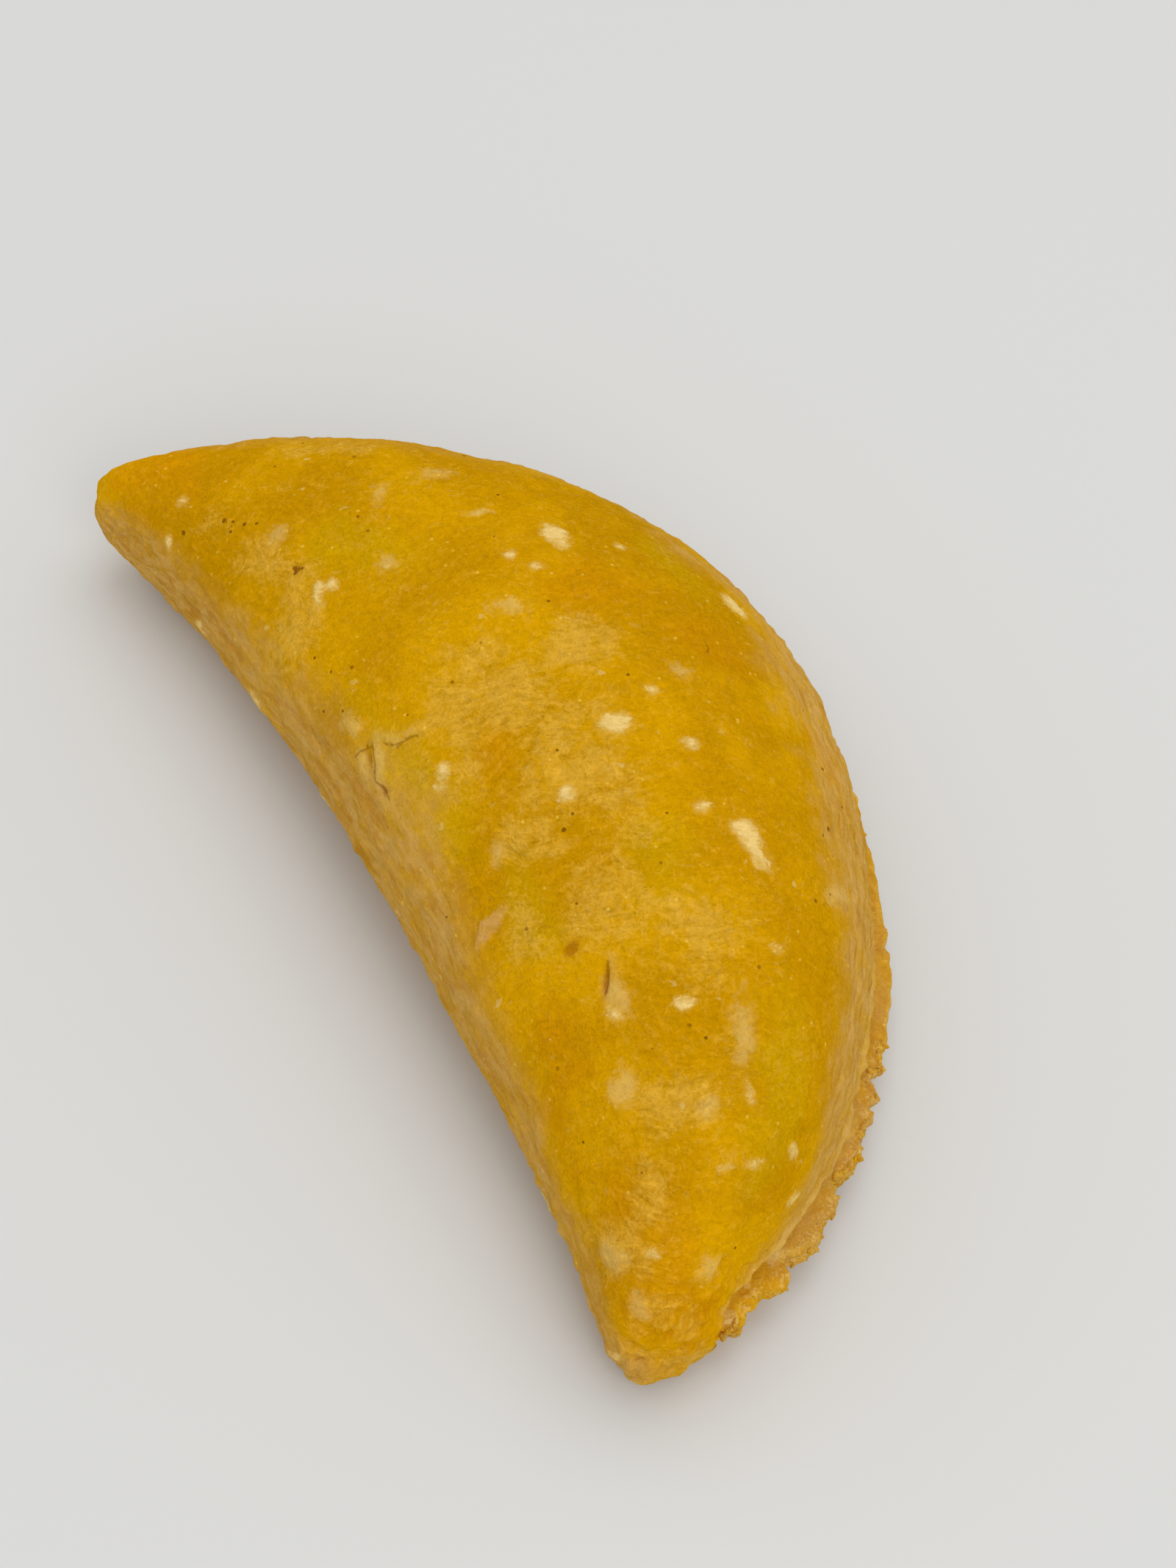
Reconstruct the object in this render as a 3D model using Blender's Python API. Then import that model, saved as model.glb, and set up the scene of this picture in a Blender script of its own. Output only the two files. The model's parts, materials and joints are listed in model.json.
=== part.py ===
"""A fried half-moon turnover, whole and uncut, as one closed solid.

A disc of dough is folded over its filling, so the plan is a half disc: a nearly
straight fold along -Y and a round sealed edge along +Y.  The two tips lie at -X
and +X.  The body is D-shaped in section and rests on a flat base, the tip at -X
curls up off the surface, and a thin ragged lip runs along the sealed edge.

The origin is the middle of the footprint, at the height of the surface it lies
on.  +Z is up.  Lengths are in metres.
"""

import math

import bmesh
import bpy
from mathutils import Vector

MM = 0.001

# Plan of the folded disc.
HALF_LENGTH = 63.3 * MM  # middle to tip
CURLED_TIP_POINT = 1.13  # over 1 draws a tip out to a point, under 1 blunts it
LOW_TIP_POINT = 0.90
CURLED_TIP_NUB = 1.4 * MM  # how far a small nub stands out of the curled tip
NUB_FALL = 20  # power at which the nub falls away from the tip
LOW_TIP_TURN = 8.0 * MM  # how far the low tip turns in from the fold line
TURN_FALL = 8  # power at which that turn falls away from the tip
DISC_RADIUS = 62.2 * MM  # fold line to the edge of the lip
DISC_LEAN = -5.8 * MM  # the round edge is fuller toward the curled tip
DISC_SWAY = (-1.05 * MM, -0.75 * MM)  # unevenness of the round edge
DISC_SWAY_WAVES = (3, 4)  # half waves from tip to tip
FOLD_HOLLOW = 3.5 * MM  # how far the fold bows in at mid-length
FOLD_SWAY = (1.1 * MM, 1.2 * MM)  # bows it in further toward the curled tip
FOLD_SWAY_WAVES = (2, 3)
CURLED_CORNER = 3.2 * MM  # how far the fold swells out beside the curled tip
LOW_CORNER = 4.7 * MM  # and beside the low tip

# Thickness.
THICKNESS = 33.0 * MM  # at mid-length
CURLED_TIP_THICKNESS = 4.5 * MM
LOW_TIP_THICKNESS = 10.2 * MM
FULLNESS = 0.85  # exponent of the swell from the tips: 1 is a sine, less is fuller
CURLED_TIP_LIFT = 8.7 * MM
LIFT_STARTS = 0.75  # share of the swell below which the base leaves the surface
CURLED_TIP_ROUNDING = 0.08  # share of the swell within which a tip draws in to a point
LOW_TIP_ROUNDING = 0.40

# Section.
FOLD_BELLY = 0.40  # height of the fold's widest point, as a share of the thickness
UNDERCUT = 1.3  # over 1 leaves a flat base between the two undercut sides
FOLD_SQUARENESS = 0.90  # exponent of the section: 1 is an ellipse, less is squarer
SEAL_SQUARENESS = 1.15

# Sealed edge.
LIP_HEIGHT = 5.0 * MM  # mid-plane of the lip
CURLED_LIP_REACH = 0.8 * MM  # how far the lip stands out of the wall
LOW_LIP_REACH = 2.2 * MM
LIP_HALF_THICKNESS = 1.6 * MM
LIP_GROWS = 0.25  # share of the swell at which the lip has its full reach
LIP_SIDE = (0.72, 0.92)  # share of the width over which the lip begins
GROOVE_DEPTH = 0.25  # as a share of the lip's reach
GROOVE_ABOVE_LIP = 2.2  # in half thicknesses of the lip
GROOVE_WIDTH = 0.9
NIBBLE = 0.15  # ragged outline of the lip: two waves, as a share of its reach
NIBBLE_WAVES = (27, 43)

# Gentle unevenness of the hand-made crust.
DIMPLE = 0.35 * MM
DIMPLE_WAVES_ALONG = (5.0, 9.0)
DIMPLE_WAVES_AROUND = (2, 3)

STATIONS = 84  # rings from tip to tip
AROUND = 56  # points in a ring
SEAL_CROWDING = 0.55  # crowds the points of a ring toward the sealed edge

CRUST_COLOUR = (0.56, 0.31, 0.022, 1.0)
CRUST_ROUGHNESS = 0.42


def clamp(value, low=0.0, high=1.0):
    return max(low, min(high, value))


def smooth(value):
    """Ease from 0 to 1 with level ends."""
    value = clamp(value)
    return value * value * (3.0 - 2.0 * value)


def signed_power(value, exponent):
    return math.copysign(abs(value) ** exponent, value)


def between(curled, low, along):
    """A size that changes from the curled tip to the low tip."""
    share = smooth(along)
    return curled + (low - curled) * share


def swell(along):
    """0 at both tips and 1 at mid-length."""
    return math.sin(math.pi * along)


def lip_reach(along):
    growth = min(1.0, swell(along) / LIP_GROWS)
    return between(CURLED_LIP_REACH, LOW_LIP_REACH, along) * growth


def outward(along):
    """Plan direction that faces out of the round edge."""
    angle = math.pi * along
    return Vector((-math.cos(angle), math.sin(angle), 0.0))


def sway(sizes, waves, along):
    """Low waves across a line in plan, which die out at the tips."""
    total = sum(size * math.sin(count * math.pi * along) for size, count in zip(sizes, waves))
    return total * swell(along)


def near_tip(along, low_tip, fall):
    """1 at one of the tips, falling away from it, and 0 on the other half."""
    on_this_half = (along > 0.5) == low_tip
    return (1.0 - swell(along)) ** fall if on_this_half else 0.0


def length_position(along):
    """Distance from the middle toward a tip, the same on both edges."""
    point = between(CURLED_TIP_POINT, LOW_TIP_POINT, along)
    nub = CURLED_TIP_NUB * near_tip(along, False, NUB_FALL)
    return HALF_LENGTH * signed_power(outward(along).x, point) - nub


def tip_turn(along):
    """How far both edges turn in from the fold line at the low tip."""
    return LOW_TIP_TURN * near_tip(along, True, TURN_FALL)


def rim_point(along):
    """Edge of the lip in plan: a half ellipse that leans toward the curled tip."""
    round_edge = (DISC_RADIUS + DISC_LEAN * outward(along).x) * swell(along)
    depth = round_edge + sway(DISC_SWAY, DISC_SWAY_WAVES, along) + tip_turn(along)
    return Vector((length_position(along), depth, 0.0))


def fold_point(along):
    """Fold in plan: it swells out beside each tip and bows in between them."""
    swelling = swell(along)
    corner = between(CURLED_CORNER, LOW_CORNER, along)
    rounded_corner = corner * (1.0 - (1.0 - swelling) ** 4)
    hollow = (FOLD_HOLLOW + corner) * swelling**2
    swayed = sway(FOLD_SWAY, FOLD_SWAY_WAVES, along)
    depth = hollow - rounded_corner + swayed + tip_turn(along)
    return Vector((length_position(along), depth, 0.0))


def tip_thickness(along):
    return between(CURLED_TIP_THICKNESS, LOW_TIP_THICKNESS, along)


def thickness(along):
    thin = tip_thickness(along)
    return thin + (THICKNESS - thin) * swell(along) ** FULLNESS


def tip_lift(along):
    """Height of the base over the surface, on the curled half only."""
    rise = max(0.0, 1.0 - swell(along) / LIFT_STARTS)
    return between(CURLED_TIP_LIFT, 0.0, along) * rise**2


def ring_angle(step):
    """0 at the sealed edge, pi at the fold, with more points near the seal."""
    even = math.tau * step / AROUND
    return even - SEAL_CROWDING * math.sin(even)


def section(along, angle):
    """Share of the width and height of a point of the D-shaped section."""
    lean_to_seal = 0.5 + 0.5 * math.cos(angle)
    exponent = FOLD_SQUARENESS + (SEAL_SQUARENESS - FOLD_SQUARENESS) * lean_to_seal
    across = 0.5 + 0.5 * signed_power(math.cos(angle), exponent)
    rise = signed_power(math.sin(angle), exponent)
    full = thickness(along)
    lip_height = min(LIP_HEIGHT, 0.5 * full)
    belly = FOLD_BELLY * full * (1.0 - across) + lip_height * across
    if rise > 0.0:
        height = belly + (full - belly) * rise
    else:
        height = belly * (1.0 + UNDERCUT * rise)
    return across, max(0.0, height)


def lip_profile(along, height):
    """How far the sealed edge stands out of the wall at a height."""
    lip_height = min(LIP_HEIGHT, 0.5 * thickness(along))
    above = (height - lip_height) / LIP_HALF_THICKNESS
    groove = GROOVE_DEPTH * math.exp(-(((above - GROOVE_ABOVE_LIP) / GROOVE_WIDTH) ** 2))
    ragged = sum(math.sin(math.tau * waves * along) for waves in NIBBLE_WAVES)
    stand_out = (1.0 + NIBBLE * ragged) * math.exp(-(above**4))
    return lip_reach(along) * (stand_out - groove)


def dimple(along, angle):
    """Low waves over the top of the crust."""
    first = math.sin(DIMPLE_WAVES_ALONG[0] * math.pi * along + DIMPLE_WAVES_AROUND[0] * angle)
    second = math.sin(DIMPLE_WAVES_ALONG[1] * math.pi * along - DIMPLE_WAVES_AROUND[1] * angle)
    return DIMPLE * (first + second) * swell(along) * max(0.0, math.sin(angle))


def tip_draw(along):
    """Quarter-round that draws the height of a section in at the tips."""
    rounding = between(CURLED_TIP_ROUNDING, LOW_TIP_ROUNDING, along)
    share = clamp(swell(along) / rounding)
    return math.sqrt(1.0 - (1.0 - share) ** 2)


def crust_point(along, angle):
    across, height = section(along, angle)
    wall = rim_point(along) - outward(along) * lip_reach(along)
    point = fold_point(along).lerp(wall, across)
    begin, end = LIP_SIDE
    on_seal_side = smooth((across - begin) / (end - begin))
    point += outward(along) * lip_profile(along, height) * on_seal_side
    middle = 0.5 * tip_thickness(along)
    uneven = height + dimple(along, angle)
    point.z = middle + (uneven - middle) * tip_draw(along) + tip_lift(along)
    return point


def tip_point(along):
    """The pole that closes one end."""
    point = rim_point(along)
    point.z = 0.5 * tip_thickness(along) + tip_lift(along)
    return point


def crust_rings():
    rings = []
    for station in range(1, STATIONS):
        along = station / STATIONS
        rings.append([crust_point(along, ring_angle(step)) for step in range(AROUND)])
    return rings


def footprint_middle(rings):
    points = [point for ring in rings for point in ring]
    xs = [point.x for point in points]
    ys = [point.y for point in points]
    return Vector((0.5 * (min(xs) + max(xs)), 0.5 * (min(ys) + max(ys)), 0.0))


def close_end(mesh, ring, pole, flip):
    for step in range(AROUND):
        corners = [ring[step], ring[(step + 1) % AROUND], pole]
        if flip:
            corners.reverse()
        mesh.faces.new(corners)


def join_rings(mesh, first, second):
    for step in range(AROUND):
        following = (step + 1) % AROUND
        mesh.faces.new((first[step], second[step], second[following], first[following]))


def crust_mesh():
    rings = crust_rings()
    middle = footprint_middle(rings + [[tip_point(0.0), tip_point(1.0)]])
    mesh = bmesh.new()
    loops = [[mesh.verts.new(point - middle) for point in ring] for ring in rings]
    for first, second in zip(loops, loops[1:]):
        join_rings(mesh, first, second)
    close_end(mesh, loops[0], mesh.verts.new(tip_point(0.0) - middle), flip=False)
    close_end(mesh, loops[-1], mesh.verts.new(tip_point(1.0) - middle), flip=True)
    bmesh.ops.recalc_face_normals(mesh, faces=mesh.faces)
    data = bpy.data.meshes.new("empanada")
    mesh.to_mesh(data)
    mesh.free()
    data.shade_smooth()
    return data


def crust_material():
    material = bpy.data.materials.new("fried_corn_crust")
    material.use_nodes = True
    shader = material.node_tree.nodes["Principled BSDF"]
    shader.inputs["Base Color"].default_value = CRUST_COLOUR
    shader.inputs["Roughness"].default_value = CRUST_ROUGHNESS
    shader.inputs["Metallic"].default_value = 0.0
    return material


def clear_scene():
    for existing in list(bpy.data.objects):
        bpy.data.objects.remove(existing, do_unlink=True)


def build_empanada():
    data = crust_mesh()
    data.materials.append(crust_material())
    crust = bpy.data.objects.new("empanada", data)
    bpy.context.scene.collection.objects.link(crust)
    return crust


clear_scene()
build_empanada()
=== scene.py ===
"""Looks of a fried half-moon empanada lying on a pale floor.

The crust is one fine surface over the half-moon's section, with relief and
surface masks worked out as whole arrays.  Crumbs along the sealed edge are a
piece of their own.  Lengths are in metres.
"""

import json
import math

import bpy
import numpy as np
from bpy.props import FloatProperty, FloatVectorProperty, IntProperty, PointerProperty
from bpy.types import Operator, Panel, PropertyGroup
from mathutils import Matrix, Vector

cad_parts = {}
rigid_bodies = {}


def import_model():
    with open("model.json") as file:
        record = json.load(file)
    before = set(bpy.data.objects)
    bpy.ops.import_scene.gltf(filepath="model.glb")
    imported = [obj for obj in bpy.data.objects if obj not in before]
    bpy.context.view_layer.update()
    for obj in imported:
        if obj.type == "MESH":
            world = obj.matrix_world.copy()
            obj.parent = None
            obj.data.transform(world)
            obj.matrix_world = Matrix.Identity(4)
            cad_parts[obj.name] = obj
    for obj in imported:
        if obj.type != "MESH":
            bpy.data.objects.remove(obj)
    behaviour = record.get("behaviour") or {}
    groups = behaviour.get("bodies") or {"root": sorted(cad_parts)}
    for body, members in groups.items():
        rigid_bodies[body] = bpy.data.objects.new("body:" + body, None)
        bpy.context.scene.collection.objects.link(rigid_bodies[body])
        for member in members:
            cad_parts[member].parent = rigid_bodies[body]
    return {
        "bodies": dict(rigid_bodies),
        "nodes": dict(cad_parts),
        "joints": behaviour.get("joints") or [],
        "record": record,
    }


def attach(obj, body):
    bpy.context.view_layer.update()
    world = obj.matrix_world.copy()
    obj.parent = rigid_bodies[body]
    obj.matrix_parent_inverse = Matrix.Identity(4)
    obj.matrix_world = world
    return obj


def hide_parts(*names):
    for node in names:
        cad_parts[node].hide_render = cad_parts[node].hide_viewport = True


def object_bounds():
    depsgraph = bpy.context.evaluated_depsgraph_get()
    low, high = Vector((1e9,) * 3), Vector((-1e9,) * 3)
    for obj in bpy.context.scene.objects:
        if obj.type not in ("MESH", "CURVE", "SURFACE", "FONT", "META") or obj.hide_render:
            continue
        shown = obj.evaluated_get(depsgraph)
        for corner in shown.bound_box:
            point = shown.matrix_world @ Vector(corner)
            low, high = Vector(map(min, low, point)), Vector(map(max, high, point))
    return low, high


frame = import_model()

bl_info = {
    "name": "Fried Empanada",
    "version": (1, 0, 0),
    "blender": (4, 5, 0),
    "location": "View3D > Sidebar > Empanada",
    "description": "Builds the crust, crumbs and stage of a fried half-moon empanada",
    "category": "Add Mesh",
}

MM = 0.001
NODE = "empanada"
CAD_LOW, CAD_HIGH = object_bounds()
CAD_SIZE = CAD_HIGH - CAD_LOW
CURLED_TIP_NUB = 1.4 * MM

# ---------------------------------------------------------------- properties


class EmpanadaForm(PropertyGroup):
    """Sizes of the half-moon, worked out from the frame's box."""

    half_length: FloatProperty(
        name="Half Length",
        description="From the middle of the fold to a tip",
        default=0.5 * (CAD_SIZE.x - CURLED_TIP_NUB),
        unit="LENGTH",
    )
    disc_radius: FloatProperty(
        name="Disc Radius",
        description="From the fold line to the edge of the lip",
        default=0.936 * CAD_SIZE.y,
        unit="LENGTH",
    )
    thickness: FloatProperty(
        name="Thickness",
        description="Height of the crust at mid-length",
        default=1.0054 * CAD_SIZE.z,
        unit="LENGTH",
    )
    unevenness: FloatProperty(
        name="Unevenness",
        description="Height of the broad lumps of the hand-made crust",
        default=0.40 * MM,
        unit="LENGTH",
    )
    stations: IntProperty(
        name="Stations",
        description="Rings of points from tip to tip",
        default=412,
        min=16,
    )
    around: IntProperty(
        name="Around",
        description="Points in a ring",
        default=240,
        min=16,
    )
    crumb_count: IntProperty(
        name="Crumb Count",
        description="Crumbs along the sealed edge",
        default=250,
        min=0,
    )
    crumb_size: FloatProperty(
        name="Crumb Size",
        description="Radius of the largest crumb",
        default=0.50 * MM,
        unit="LENGTH",
    )


def colour_property(name, description, default):
    return FloatVectorProperty(
        name=name, description=description, default=default, subtype="COLOR", size=3, min=0.0, max=1.0
    )


class EmpanadaFinish(PropertyGroup):
    """Colours of the fried corn crust, among them painted light and shade."""

    gold_deep: colour_property("Deep Gold", "Well fried crust", (0.56, 0.268, 0.0004))
    gold_bright: colour_property("Bright Gold", "Plain crust", (0.66, 0.332, 0.0006))
    pale: colour_property("Pale Gold", "Drier, mottled patches", (0.68, 0.378, 0.036))
    orange: colour_property("Orange", "Warmer patches", (0.60, 0.262, 0.001))
    olive: colour_property("Olive", "Cooler, wetter patches", (0.58, 0.340, 0.001))
    # Tan is the drier crust's own colour; low on the fold side it is also a painted reflection of the pale
    # floor.
    tan: colour_property("Tan", "Dry streaked sides and lip", (0.62, 0.356, 0.084))
    peach: colour_property("Peach", "Raised flakes", (0.67, 0.375, 0.11))
    cream: colour_property("Cream", "Flecks of white corn", (0.84, 0.62, 0.22))
    # Painted highlight: bright dots of colour that stand in for the oil's tiny highlights.
    painted_glint: colour_property("Painted Glint", "Tiny oily dots", (0.95, 0.66, 0.10))
    kernel: colour_property("Kernel", "Middle of the largest flecks", (0.95, 0.71, 0.28))
    # Brown is the specks' own colour, and also the painted shadow in the cracks.
    brown: colour_property("Brown", "Specks and cracks", (0.17, 0.062, 0.004))
    # Browner touches are the crust's own colour; the same brown is painted shade in the groove under the
    # cornice.
    toast_and_groove_shade: colour_property("Toast", "Browner touches on the dry sides", (0.50, 0.215, 0.022))
    # Red-brown of the pits: the ring speck's own colour, and painted shade in the fissures by the cracks.
    rust_and_pit_shade: colour_property("Rust", "Pits where the crust has blistered", (0.30, 0.07, 0.004))


class EmpanadaStage(PropertyGroup):
    """Floor, light and camera."""

    floor_colour: colour_property("Floor Colour", "Plain pale floor", (0.675, 0.675, 0.66))
    floor_size: FloatProperty(
        name="Floor Size",
        description="Side of the square floor",
        default=40.0,
        unit="LENGTH",
    )
    lens: FloatProperty(
        name="Lens",
        description="Focal length of the camera",
        default=68.0,
        unit="CAMERA",
    )
    sky_strength: FloatProperty(
        name="Sky Strength",
        description="Even light from all round",
        default=0.71,
        min=0.0,
    )
    key_power: FloatProperty(
        name="Key Power",
        description="Power of the large soft light overhead, in watts",
        default=2.0,
        min=0.0,
    )
    fill_power: FloatProperty(
        name="Fill Power",
        description="Power of the weak light from the camera's side, in watts",
        default=1.1,
        min=0.0,
    )


# --------------------------------------------------------- arrays and meshes


def smooth(value):
    """Ease each value from 0 to 1 with level ends."""
    held = np.clip(value, 0.0, 1.0)
    return held * held * (3.0 - 2.0 * held)


def signed_power(value, exponent):
    return np.sign(value) * np.abs(value) ** exponent


def lattice_value(cells, seed):
    """A fixed pseudo-random value from -1 to 1 for each whole-number cell."""
    mixed = cells[..., 0] * 374761393 + cells[..., 1] * 668265263 + cells[..., 2] * 2147483629
    mixed = (mixed + seed * 974634777) & 0xFFFFFFFF
    mixed = ((mixed ^ (mixed >> 13)) * 1274126177) & 0xFFFFFFFF
    mixed = mixed ^ (mixed >> 16)
    return (mixed & 0xFFFF) / 32767.5 - 1.0


def noise(places, size, seed):
    """Gradient noise, about -1 to 1: each cell corner has its own slope, and the slopes are blended."""
    scaled = places / size + 500.0
    cells = np.floor(scaled).astype(np.int64)
    part = scaled - cells
    blend = part**3 * (part * (part * 6.0 - 15.0) + 10.0)
    total = np.zeros(places.shape[:-1])
    for corner in range(8):
        step = np.array([corner & 1, (corner >> 1) & 1, (corner >> 2) & 1])
        weight = np.prod(np.where(step == 1, blend, 1.0 - blend), axis=-1)
        slopes = [lattice_value(cells + step, 3 * seed + axis) for axis in range(3)]
        total += weight * np.sum(np.stack(slopes, axis=-1) * (part - step), axis=-1)
    return 1.7 * total


def wave(distance, size, seed):
    """Noise along a line: one value for each distance."""
    places = np.stack([distance, np.full_like(distance, 7.3), np.full_like(distance, 1.9)], axis=-1)
    return noise(places, size, seed)


def grid_normals(points):
    """Unit normals of a grid that is closed around its second axis."""
    along = np.gradient(points, axis=0)
    around = np.roll(points, -1, axis=1) - np.roll(points, 1, axis=1)
    normals = np.cross(around, along)
    lengths = np.linalg.norm(normals, axis=-1, keepdims=True)
    return normals / np.maximum(lengths, 1e-12)


def tube_faces(rows, columns):
    """Quads of a closed tube, and a fan of triangles to a pole at each end."""
    row, column = np.meshgrid(np.arange(rows - 1), np.arange(columns), indexing="ij")
    following = (column + 1) % columns
    quads = np.stack(
        [
            row * columns + column,
            row * columns + following,
            (row + 1) * columns + following,
            (row + 1) * columns + column,
        ],
        axis=-1,
    ).reshape(-1, 4)
    step = np.arange(columns)
    after = (step + 1) % columns
    first_pole = rows * columns
    last = (rows - 1) * columns
    near_fan = np.stack([after, step, np.full(columns, first_pole)], axis=-1)
    far_fan = np.stack([last + step, last + after, np.full(columns, first_pole + 1)], axis=-1)
    return quads, np.concatenate([near_fan, far_fan])


def mesh_from_arrays(name, points, quads, triangles):
    """A smooth mesh from whole arrays of corners and faces."""
    mesh = bpy.data.meshes.new(name)
    faces = quads.tolist() + triangles.tolist()
    mesh.from_pydata(points.tolist(), [], faces)
    mesh.shade_smooth()
    return mesh


def store_value(mesh, name, values):
    layer = mesh.attributes.new(name, "FLOAT", "POINT")
    layer.data.foreach_set("value", np.ascontiguousarray(values, dtype=np.float32).ravel())


def add_piece(name, mesh, material):
    mesh.materials.append(material)
    piece = bpy.data.objects.new(name, mesh)
    bpy.context.scene.collection.objects.link(piece)
    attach(piece, "root")
    return piece


# --------------------------------------------------------------- crust shape

# These repeat the construction of the solid that the crust covers.
TIP_POINT = (1.13, 0.90)
NUB_FALL = 20
LOW_TIP_TURN = 8.0 * MM
TURN_FALL = 8
DISC_LEAN = -5.8 * MM
DISC_SWAY = (-1.05 * MM, -0.75 * MM)
DISC_SWAY_WAVES = (3, 4)
FOLD_HOLLOW = 3.5 * MM
FOLD_SWAY = (1.1 * MM, 1.2 * MM)
FOLD_SWAY_WAVES = (2, 3)
CORNERS = (3.2 * MM, 4.7 * MM)
TIP_THICKNESS = (4.5 * MM, 10.2 * MM)
FULLNESS = 0.85
CURLED_TIP_LIFT = 8.7 * MM
LIFT_STARTS = 0.75
TIP_ROUNDING = (0.08, 0.40)
FOLD_BELLY = 0.40
UNDERCUT = 1.3
SQUARENESS = (0.90, 1.15)
LIP_HEIGHT = 5.0 * MM
LIP_REACH = (0.8 * MM, 2.2 * MM)
LIP_HALF_THICKNESS = 1.6 * MM
LIP_GROWS = 0.25
LIP_SIDE = (0.72, 0.92)

# How densely the points lie on each part of a ring.
BASE_DENSITY = 0.25
LIP_DENSITY = 2.2
TABLE_STEPS = 3600


class CrustGrid:
    """The half-moon on a grid: rows run from tip to tip, columns around the section.

    Every point is fold + (wall - fold) * across in plan, at a height given by a
    squared half ellipse on a flat base, and the lip stands out of the wall.
    The columns start under the base and pass the seal, the top and the fold.
    """

    def __init__(self, form):
        self.form = form
        fine = np.linspace(-0.5 * np.pi, 1.5 * np.pi, TABLE_STEPS + 1)[None, :]
        length, density = self.ring_lengths(fine)
        spent = np.concatenate([[0.0], np.cumsum(length * density)])
        wanted = np.arange(form.around) / form.around * spent[-1]
        angle = np.interp(wanted, spent, fine[0])
        rows = (np.arange(1, form.stations) / form.stations)[:, None]
        self.set_place(rows, angle[None, :])
        run = np.concatenate([[0.0], np.cumsum(length)])
        self.around_mm = np.interp(angle, fine[0], run) / MM
        self.ring_mm = run[-1] / MM
        self.rim_mm = self.rim_lengths()
        self.points = self.plain_points()

    def set_place(self, along, angle):
        self.along = along
        self.angle = angle
        self.swell = np.sin(np.pi * along)
        self.out_x = -np.cos(np.pi * along)
        self.share = smooth(along)
        self.lip_growth = np.ones_like(along)
        self.lip_rise = np.zeros_like(along)

    def ring_lengths(self, fine):
        """Length of each short step around the ring at mid-length, and the point density wanted there."""
        self.set_place(np.array([[0.5]]), fine)
        ring = self.plain_points()[0]
        length = np.linalg.norm(np.diff(ring, axis=0), axis=-1)
        middle = 0.5 * (fine[0, 1:] + fine[0, :-1])
        height = 0.5 * (ring[1:, 2] + ring[:-1, 2])
        under = smooth(-np.sin(middle) * 4.0) * (height < 1.0 * MM)
        on_lip = 0.5 * (self.lip_share[0, 1:] + self.lip_share[0, :-1])
        density = 1.0 - (1.0 - BASE_DENSITY) * under + LIP_DENSITY * np.clip(on_lip, 0.0, 1.0)
        return length, density

    def rim_lengths(self):
        """Distance of each row along the rim from the curled tip, in millimetres."""
        rim_x, rim_y = self.rim()
        steps = np.hypot(np.diff(rim_x[:, 0]), np.diff(rim_y[:, 0]))
        return np.concatenate([[0.0], np.cumsum(steps)]) / MM

    def between(self, pair):
        curled, low = pair
        return curled + (low - curled) * self.share

    def sway(self, sizes, waves):
        total = sum(size * np.sin(count * np.pi * self.along) for size, count in zip(sizes, waves))
        return total * self.swell

    def near_tip(self, low_tip, fall):
        """1 at one of the tips, falling away from it, and 0 on the other half."""
        on_this_half = (self.along > 0.5) == low_tip
        return np.where(on_this_half, 1.0 - self.swell, 0.0) ** fall

    def length_position(self):
        nub = CURLED_TIP_NUB * self.near_tip(False, NUB_FALL)
        return self.form.half_length * signed_power(self.out_x, self.between(TIP_POINT)) - nub

    def tip_turn(self):
        return LOW_TIP_TURN * self.near_tip(True, TURN_FALL)

    def rim(self):
        round_edge = (self.form.disc_radius + DISC_LEAN * self.out_x) * self.swell
        depth = round_edge + self.sway(DISC_SWAY, DISC_SWAY_WAVES) + self.tip_turn()
        return self.length_position(), depth

    def fold(self):
        corner = self.between(CORNERS)
        rounded = corner * (1.0 - (1.0 - self.swell) ** 4)
        hollow = (FOLD_HOLLOW + corner) * self.swell**2
        swayed = self.sway(FOLD_SWAY, FOLD_SWAY_WAVES)
        return self.length_position(), hollow - rounded + swayed + self.tip_turn()

    def thickness(self):
        thin = self.between(TIP_THICKNESS)
        return thin + (self.form.thickness - thin) * self.swell**FULLNESS

    def lift(self):
        rise = np.maximum(0.0, 1.0 - self.swell / LIFT_STARTS)
        return self.between((CURLED_TIP_LIFT, 0.0)) * rise**2

    def reach(self):
        growth = np.minimum(1.0, self.swell / LIP_GROWS)
        return self.between(LIP_REACH) * growth * self.lip_growth

    def lip_height(self):
        return np.minimum(LIP_HEIGHT, 0.5 * self.thickness()) + self.lip_rise

    def section(self):
        toward_seal = 0.5 + 0.5 * np.cos(self.angle)
        exponent = SQUARENESS[0] + (SQUARENESS[1] - SQUARENESS[0]) * toward_seal
        across = 0.5 + 0.5 * signed_power(np.cos(self.angle), exponent)
        rise = signed_power(np.sin(self.angle), exponent)
        full = self.thickness()
        belly = FOLD_BELLY * full * (1.0 - across) + self.lip_height() * across
        over = belly + (full - belly) * rise
        under = belly * (1.0 + UNDERCUT * rise)
        return across, np.maximum(0.0, np.where(rise > 0.0, over, under))

    def lip(self, height):
        """Share of the lip's reach at a height: a flat-topped bell over a shallow groove."""
        above = (height - self.lip_height()) / LIP_HALF_THICKNESS
        return np.exp(-(above**4)) - 0.25 * np.exp(-(((above - 2.2) / 0.9) ** 2))

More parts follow.
